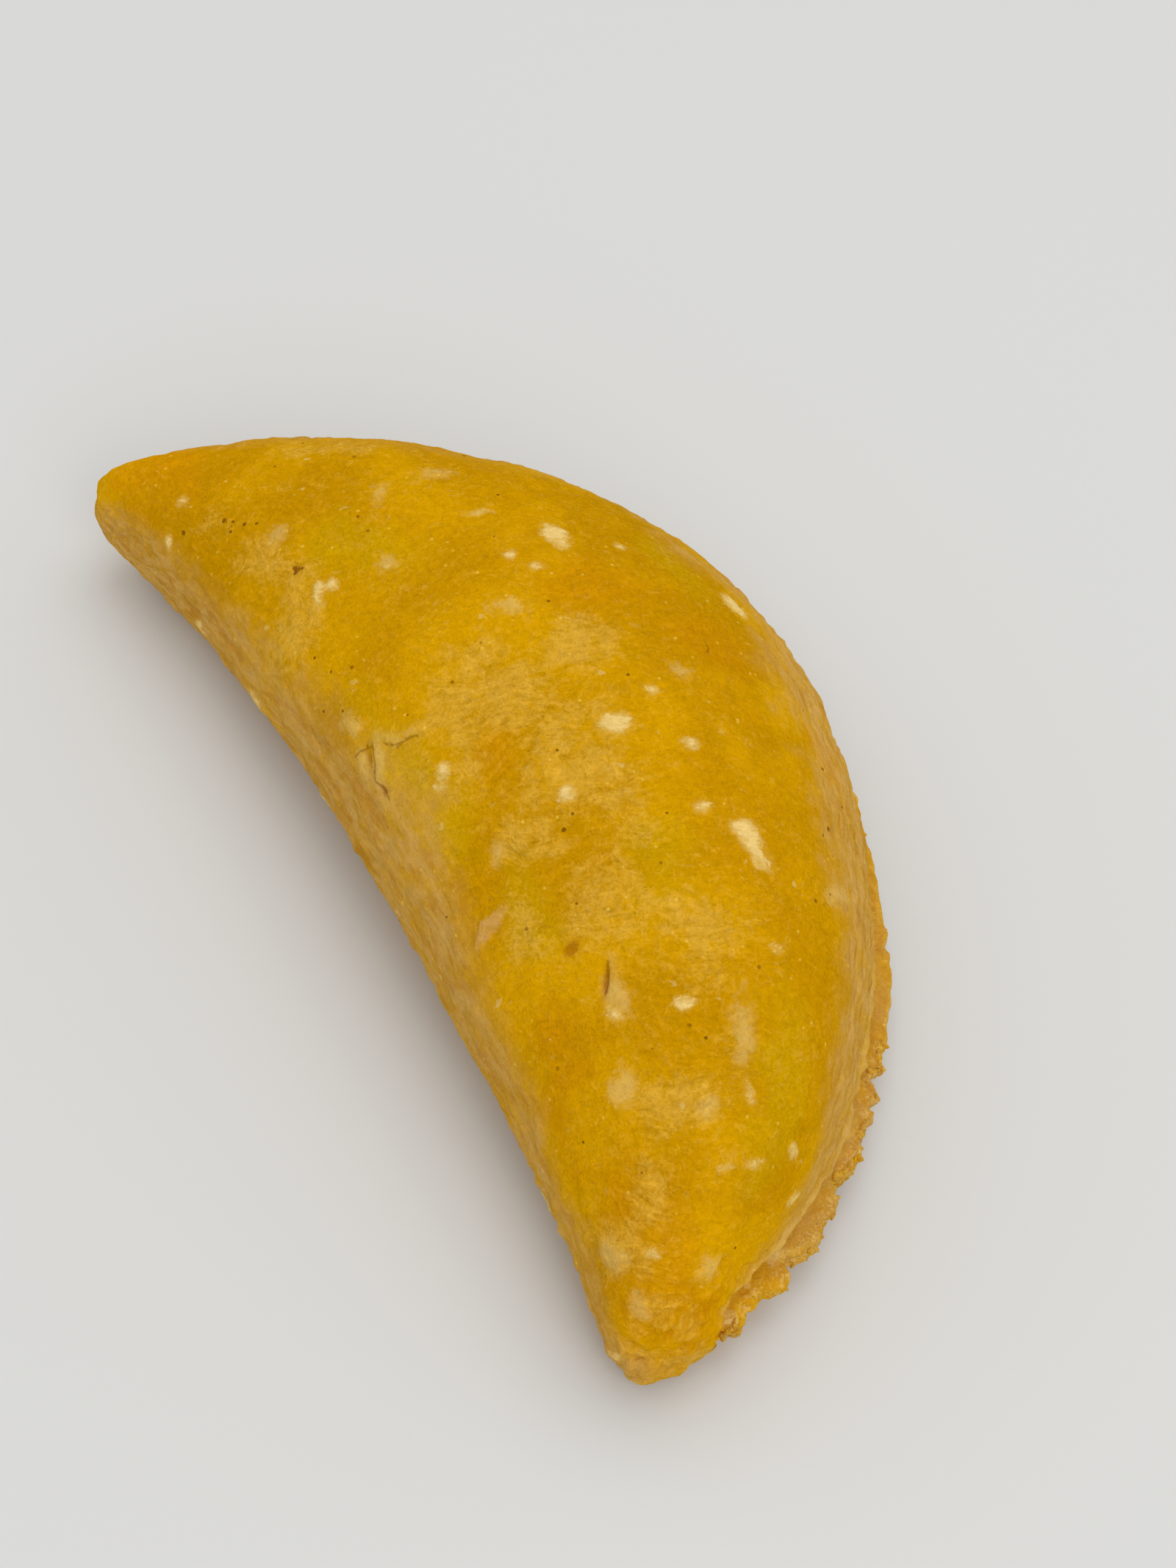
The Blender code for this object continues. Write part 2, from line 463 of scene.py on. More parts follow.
    def plain_points(self):
        across, height = self.section()
        self.across = across
        self.height = height
        rim_x, rim_y = self.rim()
        fold_x, fold_y = self.fold()
        plain_reach = self.between(LIP_REACH) * np.minimum(1.0, self.swell / LIP_GROWS)
        begin, end = LIP_SIDE
        self.seal_side = smooth((across - begin) / (end - begin))
        self.lip_share = self.lip(height) * self.seal_side
        stand_out = self.reach() * self.lip_share - plain_reach * across
        x = fold_x * (1.0 - across) + rim_x * across + self.out_x * stand_out
        y = fold_y * (1.0 - across) + rim_y * across + self.swell * stand_out
        middle = 0.5 * self.between(TIP_THICKNESS)
        held = np.minimum(self.swell / self.between(TIP_ROUNDING), 1.0)
        draw = np.sqrt(1.0 - (1.0 - held) ** 2)
        z = middle + (height - middle) * draw + self.lift()
        return np.stack([x, y, z], axis=-1)

    def poles(self):
        half = self.form.half_length
        curled = [-half - CURLED_TIP_NUB, 0.0, 0.5 * TIP_THICKNESS[0] + CURLED_TIP_LIFT]
        low = [half, LOW_TIP_TURN, 0.5 * TIP_THICKNESS[1]]
        return np.array([curled, low])


def centred(points, poles):
    """Both arrays moved so that the footprint's middle is the origin."""
    everything = np.concatenate([points.reshape(-1, 3), poles])
    middle = 0.5 * (everything.min(axis=0) + everything.max(axis=0))
    middle[2] = 0.0
    return points - middle, poles - middle


# --------------------------------------------------------------------- marks

# Each mark is its place, as a percentage of the way from the curled tip and an angle in
# degrees from the sealed edge over the top, then its length and width in millimetres and
# its turn in degrees away from the length of the crust.
CREAM_FLECKS = (
    (62.5, 77.3, 4.4, 2.9, 24),
    (63.5, 77.1, 3.8, 2.3, 22),
    (53.3, 99.2, 3.3, 2.9, 67),
    (39.5, 84, 4.2, 2.4, 0),
    (34.5, 136, 2.6, 1.3, -40),
    (34.5, 131, 1.1, 0.8, -40),
    (50.3, 137.4, 1.8, 1.5, -30),
    (51.0, 140, 1.7, 1.4, -23),
    (55.5, 115, 2.0, 1.9, 82),
    (59.9, 88.2, 1.8, 1.4, -80),
    (56.4, 84.5, 1.5, 1.4, 56),
    (52.5, 88, 1.2, 1.1, -84),
    (67.9, 125, 1.7, 1.2, 19),
    (70.0, 106.5, 1.9, 1.8, 78),
    (83.0, 56, 1.5, 1.4, 36),
    (82.0, 96, 1.4, 0.8, -61),
    (83.0, 79, 1.3, 0.7, -73),
    (85.0, 128, 1.2, 1.0, 87),
    (47.0, 50, 4.0, 3.0, 52),
    (39.5, 96, 1.1, 1.0, 0),
    (41.0, 94, 1.4, 0.9, 62),
    (35.0, 92, 2.3, 0.8, 54),
    (20.5, 156, 1.5, 1.0, -64),
    (18.5, 134, 1.2, 0.9, 0),
    (41.4, 71, 1.2, 0.8, 30),
    (69.5, 74, 1.3, 0.9, 80),
    (78.0, 87, 1.5, 0.5, 30),
    (95.0, 12, 1.6, 1.1, 0),
)
MILKY_BLISTERS = (
    (28.0, 129, 3.0, 2.4, 53),
    (35.5, 117, 2.0, 1.9, 0),
    (56.0, 136, 2.1, 1.3, -28),
    (72.0, 129, 3.6, 3.0, -17),
    (77.0, 104, 1.9, 1.7, 0),
    (73.5, 91, 6.4, 2.2, -8),
    (91.0, 88, 2.8, 2.4, -60),
    (81.5, 153, 3.8, 3.2, 22),
    (88.5, 143, 2.4, 2.1, 0),
    (66.5, 48, 5.0, 2.2, -68),
    (43.5, 153, 3.4, 1.9, 6),
    (29.5, 102, 2.6, 1.6, -60),
    (29.5, 85, 3.3, 1.9, 31),
    (43.0, 104, 3.1, 1.9, 53),
    (52.0, 79, 2.2, 1.6, 40),
    (67.2, 123, 4.2, 2.4, 8),
    (45.8, 157.8, 2.8, 1.4, -29),
    (46.6, 151.8, 3.4, 1.2, -29),
)
PALE_PATCHES = (
    (56.5, 127, 8, 5, 58),
    (55.5, 110, 13, 10, 17),
    (48.0, 117, 16, 10, 35),
    (62.5, 117, 10, 9, 84),
    (67.0, 99, 11, 9, 26),
    (75.5, 114, 9, 6, -78),
    (47.5, 98, 12, 7, 68),
    (21.0, 88, 12, 3, 15),
    (35.5, 150, 12, 7, -50),
    (61.0, 139, 8, 5, 0),
    (49.0, 129, 11, 8, 0),
    (52.5, 112, 24, 11, 5),
    (47.0, 157, 9, 4, 0),
    (83.0, 141, 8, 6, 30),
    (91.0, 132, 6, 5, 0),
    (29.0, 139, 16, 5, 0),
    (80.0, 131, 10, 5, -20),
    (96.0, 110, 6, 4, 0),
)
WARM_PATCHES = (
    (69.0, 148, 15, 6, -18),
    (44.5, 82, 13, 8, 60),
    (91.0, 117, 11, 6, -3),
    (50.5, 67, 12, 8, 60),
    (51.5, 124, 6, 5, 12),
    (12.0, 114, 12, 9, 0),
    (79.0, 140, 12, 6, -8),
    (86.0, 134, 18, 8, 0),
    (96.5, 105, 8, 8, 0),
)
# Painted shade: these patches darken the crust on the seal-side shoulder and high on the fold side; the
# same mask lightens both tips as painted light.
PAINTED_SHADE_PATCHES = (
    (46.0, 64, 38, 18, 0),
    (42.0, 160, 16, 6, 0),
)
OLIVE_PATCHES = (
    (49.0, 147, 22, 7, 0),
    (60.0, 136, 12, 6, -10),
    (79.0, 72, 18, 9, 5),
    (62.0, 101, 9, 7, 0),
    (33.0, 118, 16, 7, 25),
    (44.0, 62, 12, 5, 0),
)
POROUS_PATCHES = (
    (55.5, 114, 10, 9, 30),
    (25.0, 132, 9, 6, 10),
    (46.0, 157, 7, 4, 0),
)
# Brown specks: place, then width.
SPECKS = (
    (21.2, 148, 0.65),
    (23.4, 134, 0.70),
    (24.1, 133, 0.45),
    (25.1, 132, 0.55),
    (25.8, 129, 0.45),
    (24.8, 137, 0.45),
    (31.3, 134, 0.60),
    (31.9, 133, 0.50),
    (31.8, 136, 0.45),
    (37.8, 150, 0.40),
    (39.6, 148, 0.35),
    (41.1, 159, 0.40),
    (42.3, 153, 0.35),
    (30.6, 112, 0.35),
    (34.1, 83, 0.35),
    (44.0, 97, 0.40),
    (51.0, 92, 0.40),
    (53.2, 113, 0.40),
    (56.8, 116, 0.40),
    (57.3, 119, 0.60),
    (59.5, 97, 0.35),
    (61.1, 124, 0.35),
    (56.6, 160, 0.35),
    (60.4, 36, 0.35),
    (58.6, 43, 0.50),
    (62.4, 47, 0.65),
    (62.9, 50, 0.45),
    (67.1, 59, 0.55),
    (66.5, 52, 0.35),
    (72.5, 102, 0.40),
    (73.1, 150, 0.35),
    (90.2, 66, 0.35),
)
# The finish paints shadow into these cracks and a highlight on the raised edge beside each.
# Lines: place, length, height of the raised edge beside it, how far it bows, and turn.
CRACKS = (
    (46.6, 144.6, 2.3, 0.28, -0.32, 60),
    (47.0, 141.0, 2.3, 0.24, 0.30, 80),
    (45.4, 154.3, 2.4, 0.12, 0.15, 70),
    (46.4, 153.1, 3.9, 0.28, 0.20, -29),
    (48.0, 155.8, 3.0, 0.18, 0.10, 2),
    (65.8, 124.0, 3.2, 0.25, 0.15, -24),
    (50.8, 69.0, 1.1, 0.00, 0.10, -20),
)
CREASES = (
    (46.2, 128, 5.0, 0.22, 0.50, -8),
    (51.4, 115, 6.0, 0.22, 0.60, -22),
    (74.0, 132, 5.0, 0.26, 0.60, 25),
    (60.5, 106, 7.0, 0.14, 0.90, 62),
    (38.0, 106, 8.0, 0.14, 1.00, 55),
    (78.0, 62, 7.0, 0.18, 0.60, 5),
    (60.5, 42, 9.0, 0.24, 0.50, 4),
    (66.5, 47, 8.0, 0.22, -0.40, -4),
    (57.0, 34, 6.0, 0.20, 0.30, 6),
)
FLAKES = ((59.0, 148, 5.2, 1.7, -70),)
# Pits are browned: the ring speck is its own colour, while the fissures along the cracks get painted shade.
PITS = (
    (63.0, 129, 2.3, 1.3, -70),
    (65.8, 124, 3.2, 0.75, -24),
    (48.4, 156.8, 1.2, 0.9, 6),
    (46.0, 154.0, 2.6, 0.7, -29),
    (31.6, 134, 1.0, 0.9, 0),
)
HIDDEN_MARKS = 34  # more flecks and blisters, on the sides that the named marks leave bare
HIDDEN_PATCHES = 14
FAR = 9.0  # millimetres, farther than any mark's edge matters
SAME_SIDE = 7.0  # millimetres of depth within which a point lies on a mark's own side
NEAR_SPECK = 0.9  # millimetres
NEAR_CRACK = 0.8


class MarkFrame:
    """Flat coordinates, in millimetres, on the crust about one place of the grid."""

    def __init__(self, grid, points, normals, along, angle):
        row = int(np.argmin(np.abs(grid.along[:, 0] - 0.01 * along)))
        row = min(max(row, 1), len(points) - 2)
        turn = np.radians((angle + 90.0) % 360.0 - 90.0)
        column = int(np.argmin(np.abs(grid.angle[0] - turn)))
        self.normal = normals[row, column]
        ahead = points[row + 1, column] - points[row - 1, column]
        ahead -= self.normal * (ahead @ self.normal)
        self.ahead = ahead / np.linalg.norm(ahead)
        self.aside = np.cross(self.normal, self.ahead)
        offset = (points - points[row, column]) / MM
        self.depth = offset @ self.normal
        self.first = offset @ self.ahead
        self.second = offset @ self.aside

    def turned(self, degrees):
        """Distances along and across a direction turned away from the length of the crust."""
        turn = np.radians(degrees)
        along = self.first * np.cos(turn) + self.second * np.sin(turn)
        across = self.second * np.cos(turn) - self.first * np.sin(turn)
        return along, across

    def near(self):
        return np.abs(self.depth) < SAME_SIDE

    def oval(self, length, width, turn):
        """Signed distance to an oval's edge: (|(a/A, b/B)| - 1) times the smaller half size."""
        along, across = self.turned(turn)
        ratio = np.hypot(2.0 * along / length, 2.0 * across / width)
        distance = (ratio - 1.0) * 0.5 * min(length, width)
        return np.where(self.near(), distance, FAR)

    def line(self, length, bow, turn):
        """Side of, and distance to, the curve b = bow * (1 - (2a/L)^2) with its ends cut off."""
        along, across = self.turned(turn)
        side = across - bow * (1.0 - (2.0 * along / length) ** 2)
        beyond = np.maximum(0.0, np.abs(along) - 0.5 * length)
        distance = np.hypot(side, beyond)
        return np.where(self.near(), side, FAR), np.where(self.near(), distance, FAR)


class CrustMarks:
    """Every mark as a value for each point: distances in millimetres, or shares from 0 to 1."""

    def __init__(self, grid, points, normals):
        self.grid = grid
        self.points = points
        self.normals = normals
        self.places = points / MM
        self.shape = points.shape[:2]
        ragged = 0.50 * noise(self.places, 1.9, 31) + 0.15 * noise(self.places, 1.0, 32)
        self.cream = self.ovals(CREAM_FLECKS + self.hidden(51)) + ragged
        self.milky = self.ovals(MILKY_BLISTERS + self.hidden(52)) + 0.8 * ragged
        self.flake = self.ovals(FLAKES) + 0.6 * ragged
        self.pit = self.ovals(PITS) + 0.6 * ragged
        self.patch = self.soft(PALE_PATCHES + self.hidden_patches(53))
        self.warm = self.soft(WARM_PATCHES + self.hidden_patches(54))
        self.olive = self.soft(OLIVE_PATCHES)
        # Painted shading: darker in its patches, lighter toward the tips.
        self.painted_shading = self.soft(PAINTED_SHADE_PATCHES) - smooth((0.55 - grid.swell) / 0.30)
        self.porous = self.soft(POROUS_PATCHES)
        self.add_specks()
        self.add_cracks()
        self.crease = self.ridges(CREASES)

    def frame(self, along, angle):
        return MarkFrame(self.grid, self.points, self.normals, along, angle)

    def ovals(self, marks):
        nearest = np.full(self.shape, FAR)
        for along, angle, length, width, turn in marks:
            nearest = np.minimum(nearest, self.frame(along, angle).oval(length, width, turn))
        return nearest

    def soft(self, marks):
        """Patches that fade out over their whole half size, with uneven outlines."""
        total = np.zeros(self.shape)
        sway = 0.45 * noise(self.places, 6.0, 33) + 0.30 * noise(self.places, 2.4, 34)
        for along, angle, length, width, turn in marks:
            distance = self.frame(along, angle).oval(length, width, turn)
            inside = -distance / (0.5 * min(length, width))
            total = np.maximum(total, smooth(0.45 + 0.75 * inside + sway))
        return total

    def hidden(self, seed):
        """Scattered marks over the wall, the fold side and the base."""
        random = np.random.default_rng(seed)
        along = random.uniform(8.0, 94.0, HIDDEN_MARKS)
        angle = random.uniform(-178.0, 42.0, HIDDEN_MARKS)
        length = random.uniform(0.9, 3.6, HIDDEN_MARKS)
        width = length * random.uniform(0.5, 0.9, HIDDEN_MARKS)
        turn = random.uniform(-90.0, 90.0, HIDDEN_MARKS)
        return tuple(zip(along, angle, length, width, turn))

    def hidden_patches(self, seed):
        random = np.random.default_rng(seed)
        along = random.uniform(10.0, 92.0, HIDDEN_PATCHES)
        angle = random.uniform(-175.0, 50.0, HIDDEN_PATCHES)
        length = random.uniform(6.0, 16.0, HIDDEN_PATCHES)
        width = length * random.uniform(0.4, 0.8, HIDDEN_PATCHES)
        turn = random.uniform(-90.0, 90.0, HIDDEN_PATCHES)
        return tuple(zip(along, angle, length, width, turn))

    def add_specks(self):
        """Offsets from the nearest speck, as shares of its radius, and how near it is."""
        nearest = np.full(self.shape, FAR)
        self.speck_x = np.full(self.shape, FAR)
        self.speck_y = np.full(self.shape, FAR)
        for along, angle, width in SPECKS:
            frame = self.frame(along, angle)
            distance = np.where(frame.near(), np.hypot(frame.first, frame.second), FAR)
            closer = distance < nearest
            nearest = np.where(closer, distance, nearest)
            self.speck_x = np.where(closer, frame.first / (0.5 * width), self.speck_x)
            self.speck_y = np.where(closer, frame.second / (0.5 * width), self.speck_y)
        self.speck_near = 1.0 - smooth(nearest / NEAR_SPECK)

    def add_cracks(self):
        """Signed distance to the side of the nearest crack, how near it is, and its raised edge."""
        nearest = np.full(self.shape, FAR)
        self.crack_side = np.full(self.shape, FAR)
        self.edge_lift = np.zeros(self.shape)
        for along, angle, length, lift, bow, turn in CRACKS:
            side, distance = self.frame(along, angle).line(length, bow, turn)
            self.crack_side = np.where(distance < nearest, side, self.crack_side)
            nearest = np.minimum(nearest, distance)
            fade = smooth((2.4 - distance) / 2.2) * smooth(0.3 + side / 0.5)
            self.edge_lift = np.maximum(self.edge_lift, lift * fade)
        self.crack_near = 1.0 - smooth(nearest / NEAR_CRACK)

    def ridges(self, lines):
        """Low rounded ridges along the lines, in millimetres."""
        height = np.zeros(self.shape)
        for along, angle, length, rise, bow, turn in lines:
            side, distance = self.frame(along, angle).line(length, bow, turn)
            fade = smooth(1.6 - distance / 1.2)
            height = np.maximum(height, rise * np.exp(-((side / 0.45) ** 2)) * fade)
        return height


# -------------------------------------------------------------------- relief

# Changes of the lip's reach: percentage of the way, half length in millimetres, and share.
LIP_BITES = (
    (65.0, 1.0, 0.20),
    (66.1, 0.7, -0.30),
    (73.9, 0.6, 0.30),
    (74.7, 0.5, -0.45),
    (75.8, 0.6, 0.30),
    (76.6, 0.5, -0.40),
    (77.4, 0.5, 0.20),
    (80.0, 1.5, 0.25),
    (82.4, 1.3, -0.80),
    (86.5, 1.5, 0.20),
    (88.7, 0.9, -0.55),
    (90.2, 1.3, 0.35),
    (93.6, 0.7, -0.40),
    (95.6, 1.1, 0.50),
    (97.7, 0.6, -0.60),
)


def side_bands(grid, places):
    """Share of drier, streaked tan crust: low on the fold side, on the wall, at the lip and beneath. Low on
    the fold side the tan is also a painted reflection of the pale floor at grazing angles.
    """
    sway = 8.0 * noise(places, 9.0, 41) + 6.0 * noise(places, 3.0, 42) + 3.0 * noise(places, 1.4, 43)
    degrees = np.degrees(grid.angle) + sway
    fold_top = 165.0 - 12.0 * np.exp(-(((grid.along - 0.50) / 0.10) ** 2))
    fold_top += 9.0 * smooth((grid.along - 0.62) / 0.12)
    fold_side = smooth(0.5 + (degrees - fold_top) / 24.0)
    wall_top = 46.0 + 38.0 * smooth((0.44 - grid.along) / 0.28)
    wall_top -= 10.0 * smooth((grid.along - 0.66) / 0.20)
    wall = smooth(0.5 + (wall_top - degrees) / 20.0)
    low_tip = 0.6 * smooth((grid.along - 0.92) / 0.05)
    golden = 0.75 * smooth(0.55 + 1.8 * noise(places, 10.0, 44) + 0.5 * noise(places, 3.0, 45))
    beneath = smooth((degrees - 196.0) / 8.0) + smooth((18.0 - degrees) / 8.0)
    far_wall = smooth((0.52 - grid.along) / 0.12) * smooth((90.0 - degrees) / 10.0)
    golden *= np.clip(beneath + far_wall, 0.0, 1.0)
    wall_tip = 0.85 * smooth((0.55 - grid.swell) / 0.35) * smooth((90.0 - degrees) / 20.0)
    wall *= 1.0 - wall_tip
    return np.clip(0.95 * fold_side + wall, 0.0, 1.0) * (1.0 - low_tip) * (1.0 - golden)


def streak_places(grid):
    """Coordinates stretched along the rim, in which streaks are plain noise."""
    along = np.broadcast_to(grid.rim_mm[:, None] / 5.0, grid.points.shape[:2])
    around = np.broadcast_to(grid.around_mm[None, :], grid.points.shape[:2])
    return np.stack([along, around, np.zeros_like(along)], axis=-1)


def cornice(grid):
    """A thin overhanging edge on the wall above the lip, stronger toward the low tip."""
    level = 8.4 + 0.9 * wave(grid.rim_mm, 17.0, 61) + 0.5 * wave(grid.rim_mm, 3.6, 62)
    above = grid.height / MM - level[:, None]
    profile = np.exp(-((above / 0.7) ** 2)) - 0.9 * np.exp(-(((above + 1.4) / 0.8) ** 2))
    strength = 0.22 + 0.50 * smooth((grid.along - 0.45) / 0.30)
    patchy = 0.8 + 0.5 * wave(grid.rim_mm, 9.0, 63)[:, None]
    return profile * strength * patchy * grid.seal_side * smooth(grid.swell / 0.3)


def relief(grid, marks, bands):
    """Height of every point over the plain crust, in millimetres."""
    places = marks.places
    broad = noise(places, 15.0, 1) + 0.45 * noise(places, 7.0, 2)
    small = 0.13 * noise(places, 3.0, 3) + 0.11 * noise(places, 1.5, 4)
    streaks = streak_places(grid)
    ridges = 0.24 * noise(streaks, 1.9, 5) + 0.15 * noise(streaks, 0.95, 6)
    pimples = 0.22 * noise(places, 1.3, 11)
    height = grid.form.unevenness / MM * broad + small + bands * (ridges + pimples)
    height += marks.crease
    height += 0.14 * smooth(-marks.cream / 0.4) + 0.14 * smooth(-marks.milky / 0.8)
    height += 0.40 * smooth(0.5 - marks.flake / 0.4) + marks.edge_lift
    height -= 0.45 * smooth(0.5 - marks.pit / 0.7)
    seal_lumps = 0.32 * noise(places, 1.3, 7) + 0.28 * noise(places, 2.6, 8)
    near_lip = grid.seal_side * smooth((9.5 - grid.height / MM) / 2.5)
    near_lip *= 0.35 + 0.65 * smooth((grid.along - 0.68) / 0.08)
    height += near_lip * seal_lumps * smooth(grid.height / MM - 0.5)
    lumps = 0.70 * noise(places, 2.7, 9) + 0.55 * noise(places, 1.4, 10)
    height += lumps * smooth((grid.along - 0.88) / 0.06)
    low_fold = smooth((grid.along - 0.62) / 0.08) * smooth((np.degrees(grid.angle) - 150.0) / 15.0)
    height += 0.30 * low_fold * smooth((places[..., 2] - 1.0) / 2.0) * lumps
    return height * smooth(grid.swell / 0.06)


def ragged_lip(grid):
    """Sets how far the lip reaches and how it wanders up and down along the rim."""
    run = grid.rim_mm
    low_half = smooth((grid.along[:, 0] - 0.55) / 0.25)
    teeth = 0.10 * wave(run, 2.3, 71) + 0.06 * wave(run, 1.0, 72) + 0.20 * wave(run, 4.7, 73)
    growth = 0.95 + (0.25 + 0.75 * low_half) * teeth + 0.20 * wave(run, 14.0, 74)
    for along, half, change in LIP_BITES:
        centre = np.interp(0.01 * along, grid.along[:, 0], run)
        growth += change * np.exp(-(((run - centre) / half) ** 2))
    grid.lip_growth = np.clip(growth, -0.2, 1.9)[:, None]
    rise = 0.5 * wave(run, 11.0, 75) + 0.3 * wave(run, 2.7, 76)
    grid.lip_rise = (rise * MM * grid.swell[:, 0])[:, None]


class FinishedCrust:
    """The crust with its ragged lip and relief, and the masks that its finish reads."""

    def __init__(self, form):
        self.grid = CrustGrid(form)
        plain, poles = centred(self.grid.points, self.grid.poles())
        marks = CrustMarks(self.grid, plain, grid_normals(plain))
        self.marks = marks
        self.bands = side_bands(self.grid, marks.places)
        self.cornice = cornice(self.grid)
        rises = relief(self.grid, marks, self.bands) + self.cornice
        middle = self.grid.points[0, 0] - plain[0, 0]
        ragged_lip(self.grid)
        points = self.grid.plain_points() - middle
        points += rises[..., None] * MM * grid_normals(points)
        points[..., 2] = np.maximum(points[..., 2], 0.0)
        self.points = points
        self.poles = poles
        self.lip_share = np.clip(self.grid.lip_share, 0.0, 1.0)

    def values(self):
        return {
            "cream": self.marks.cream,
            "milky": self.marks.milky,
            "flake": self.marks.flake,
            "pit": self.marks.pit,
            "speck_x": self.marks.speck_x,
            "speck_y": self.marks.speck_y,
            "speck_near": self.marks.speck_near,
            "crack_side": self.marks.crack_side,
            "crack_near": self.marks.crack_near,
            "edge": self.marks.edge_lift,
            "patch": self.marks.patch,
            "warm": self.marks.warm,
            "olive": self.marks.olive,
            "painted_shading": self.marks.painted_shading,
            "porous": self.marks.porous,
            "dry_and_sheen": self.bands,
            "crumbly": self.lip_share * smooth((self.grid.along - 0.66) / 0.10),
            "cornice": self.cornice,
        }


def crust_mesh(crust):
    rows, columns = crust.points.shape[:2]
    quads, fans = tube_faces(rows, columns)
    corners = np.concatenate([crust.points.reshape(-1, 3), crust.poles])
    mesh = mesh_from_arrays("crust", corners, quads, fans)
    for name, values in crust.values().items():
        ends = [values[0].mean(), values[-1].mean()]
        store_value(mesh, name, np.concatenate([values.ravel(), ends]))
    add_streak_map(mesh, crust.grid, rows, columns)
    return mesh


def add_streak_map(mesh, grid, rows, columns):
    """UV in centimetres: along the rim and around the section, with the seam under the base."""
    row, column = np.meshgrid(np.arange(rows - 1), np.arange(columns), indexing="ij")
    around = np.append(grid.around_mm, grid.ring_mm) * 0.1
    along = grid.rim_mm * 0.1
    corners = []
    for row_step, column_step in ((0, 0), (0, 1), (1, 1), (1, 0)):
        corners.append(np.stack([along[row + row_step], around[column + column_step]], axis=-1))
    quads = np.stack(corners, axis=2).reshape(-1, 2)
    step = np.arange(columns)
    near = fan_map(along[0], around[step + 1], around[step])
    far = fan_map(along[-1], around[step], around[step + 1])
    layer = mesh.uv_layers.new(name="streaks")
    layer.data.foreach_set("uv", np.concatenate([quads, near, far]).astype(np.float32).ravel())


def fan_map(along, first, second):
    """UV of the triangles of one fan, whose pole takes each triangle's middle."""
    middle = 0.5 * (first + second)
    columns = np.stack([first, second, middle], axis=-1)
    return np.stack([np.full_like(columns, along), columns], axis=-1).reshape(-1, 2)


# -------------------------------------------------------------------- crumbs

CRUMB_RINGS = 5
CRUMB_SIDES = 8


def crumb_shape():
    """Directions of a small ball: rings of points between two poles, and its faces."""
    tilt = np.pi * np.arange(1, CRUMB_RINGS) / CRUMB_RINGS
    turn = 2.0 * np.pi * np.arange(CRUMB_SIDES) / CRUMB_SIDES
    ring = np.stack([np.cos(turn), np.sin(turn), np.zeros_like(turn)], axis=-1)
    axis = np.array([0.0, 0.0, 1.0])
    balls = np.sin(tilt)[:, None, None] * ring[None] + np.cos(tilt)[:, None, None] * axis
    poles = np.array([[0.0, 0.0, 1.0], [0.0, 0.0, -1.0]])
    quads, fans = tube_faces(CRUMB_RINGS - 1, CRUMB_SIDES)
    return np.concatenate([balls.reshape(-1, 3), poles]), quads[:, ::-1], fans[:, ::-1]


def random_turns(random, count):
    """Rotation matrices made from three random directions at right angles."""
    turns = np.linalg.qr(random.normal(size=(count, 3, 3)))[0]
    return turns * np.sign(np.linalg.det(turns))[:, None, None]


def crumbs_mesh(crust, form):
    """Lumps sunk in the edge of the lip: each is a ball squashed, turned and dented by noise."""
    random = np.random.default_rng(7)
    count = form.crumb_count
    along = np.broadcast_to(crust.grid.along, crust.lip_share.shape)
    wanted = (crust.lip_share > 0.5) & (crust.grid.swell > 0.10)
    places = crust.points[wanted]
    normals = grid_normals(crust.points)[wanted]
    clumps = smooth(noise(places / MM, 4.0, 82) / 0.3)
    favour = (0.02 + smooth((along[wanted] - 0.70) / 0.06)) * (0.1 + clumps)
    chosen = random.choice(len(places), count, replace=False, p=favour / favour.sum())
    balls, quads, fans = crumb_shape()
    size = form.crumb_size * (0.30 + 0.70 * random.uniform(0.0, 1.0, count) ** 2.2)
    stretch = random.uniform(0.45, 1.35, (count, 1, 3))
    dents = 1.0 + 0.55 * noise(balls[None] + np.arange(count)[:, None, None] * 3.7, 0.8, 81)
    lumps = np.einsum("nij,njk->nik", balls[None] * stretch * dents[..., None], random_turns(random, count))
    centres = places[chosen] - normals[chosen] * size[:, None] * 0.25
    points = centres[:, None] + lumps * size[:, None, None]
    starts = (np.arange(count) * len(balls))[:, None, None]
    all_quads = (quads[None] + starts).reshape(-1, 4)
    all_fans = (fans[None] + starts).reshape(-1, 3)
    points[..., 2] = np.maximum(points[..., 2], 0.0)
    return mesh_from_arrays("seal_crumbs", points.reshape(-1, 3), all_quads, all_fans)


# ----------------------------------------------------------------- materials


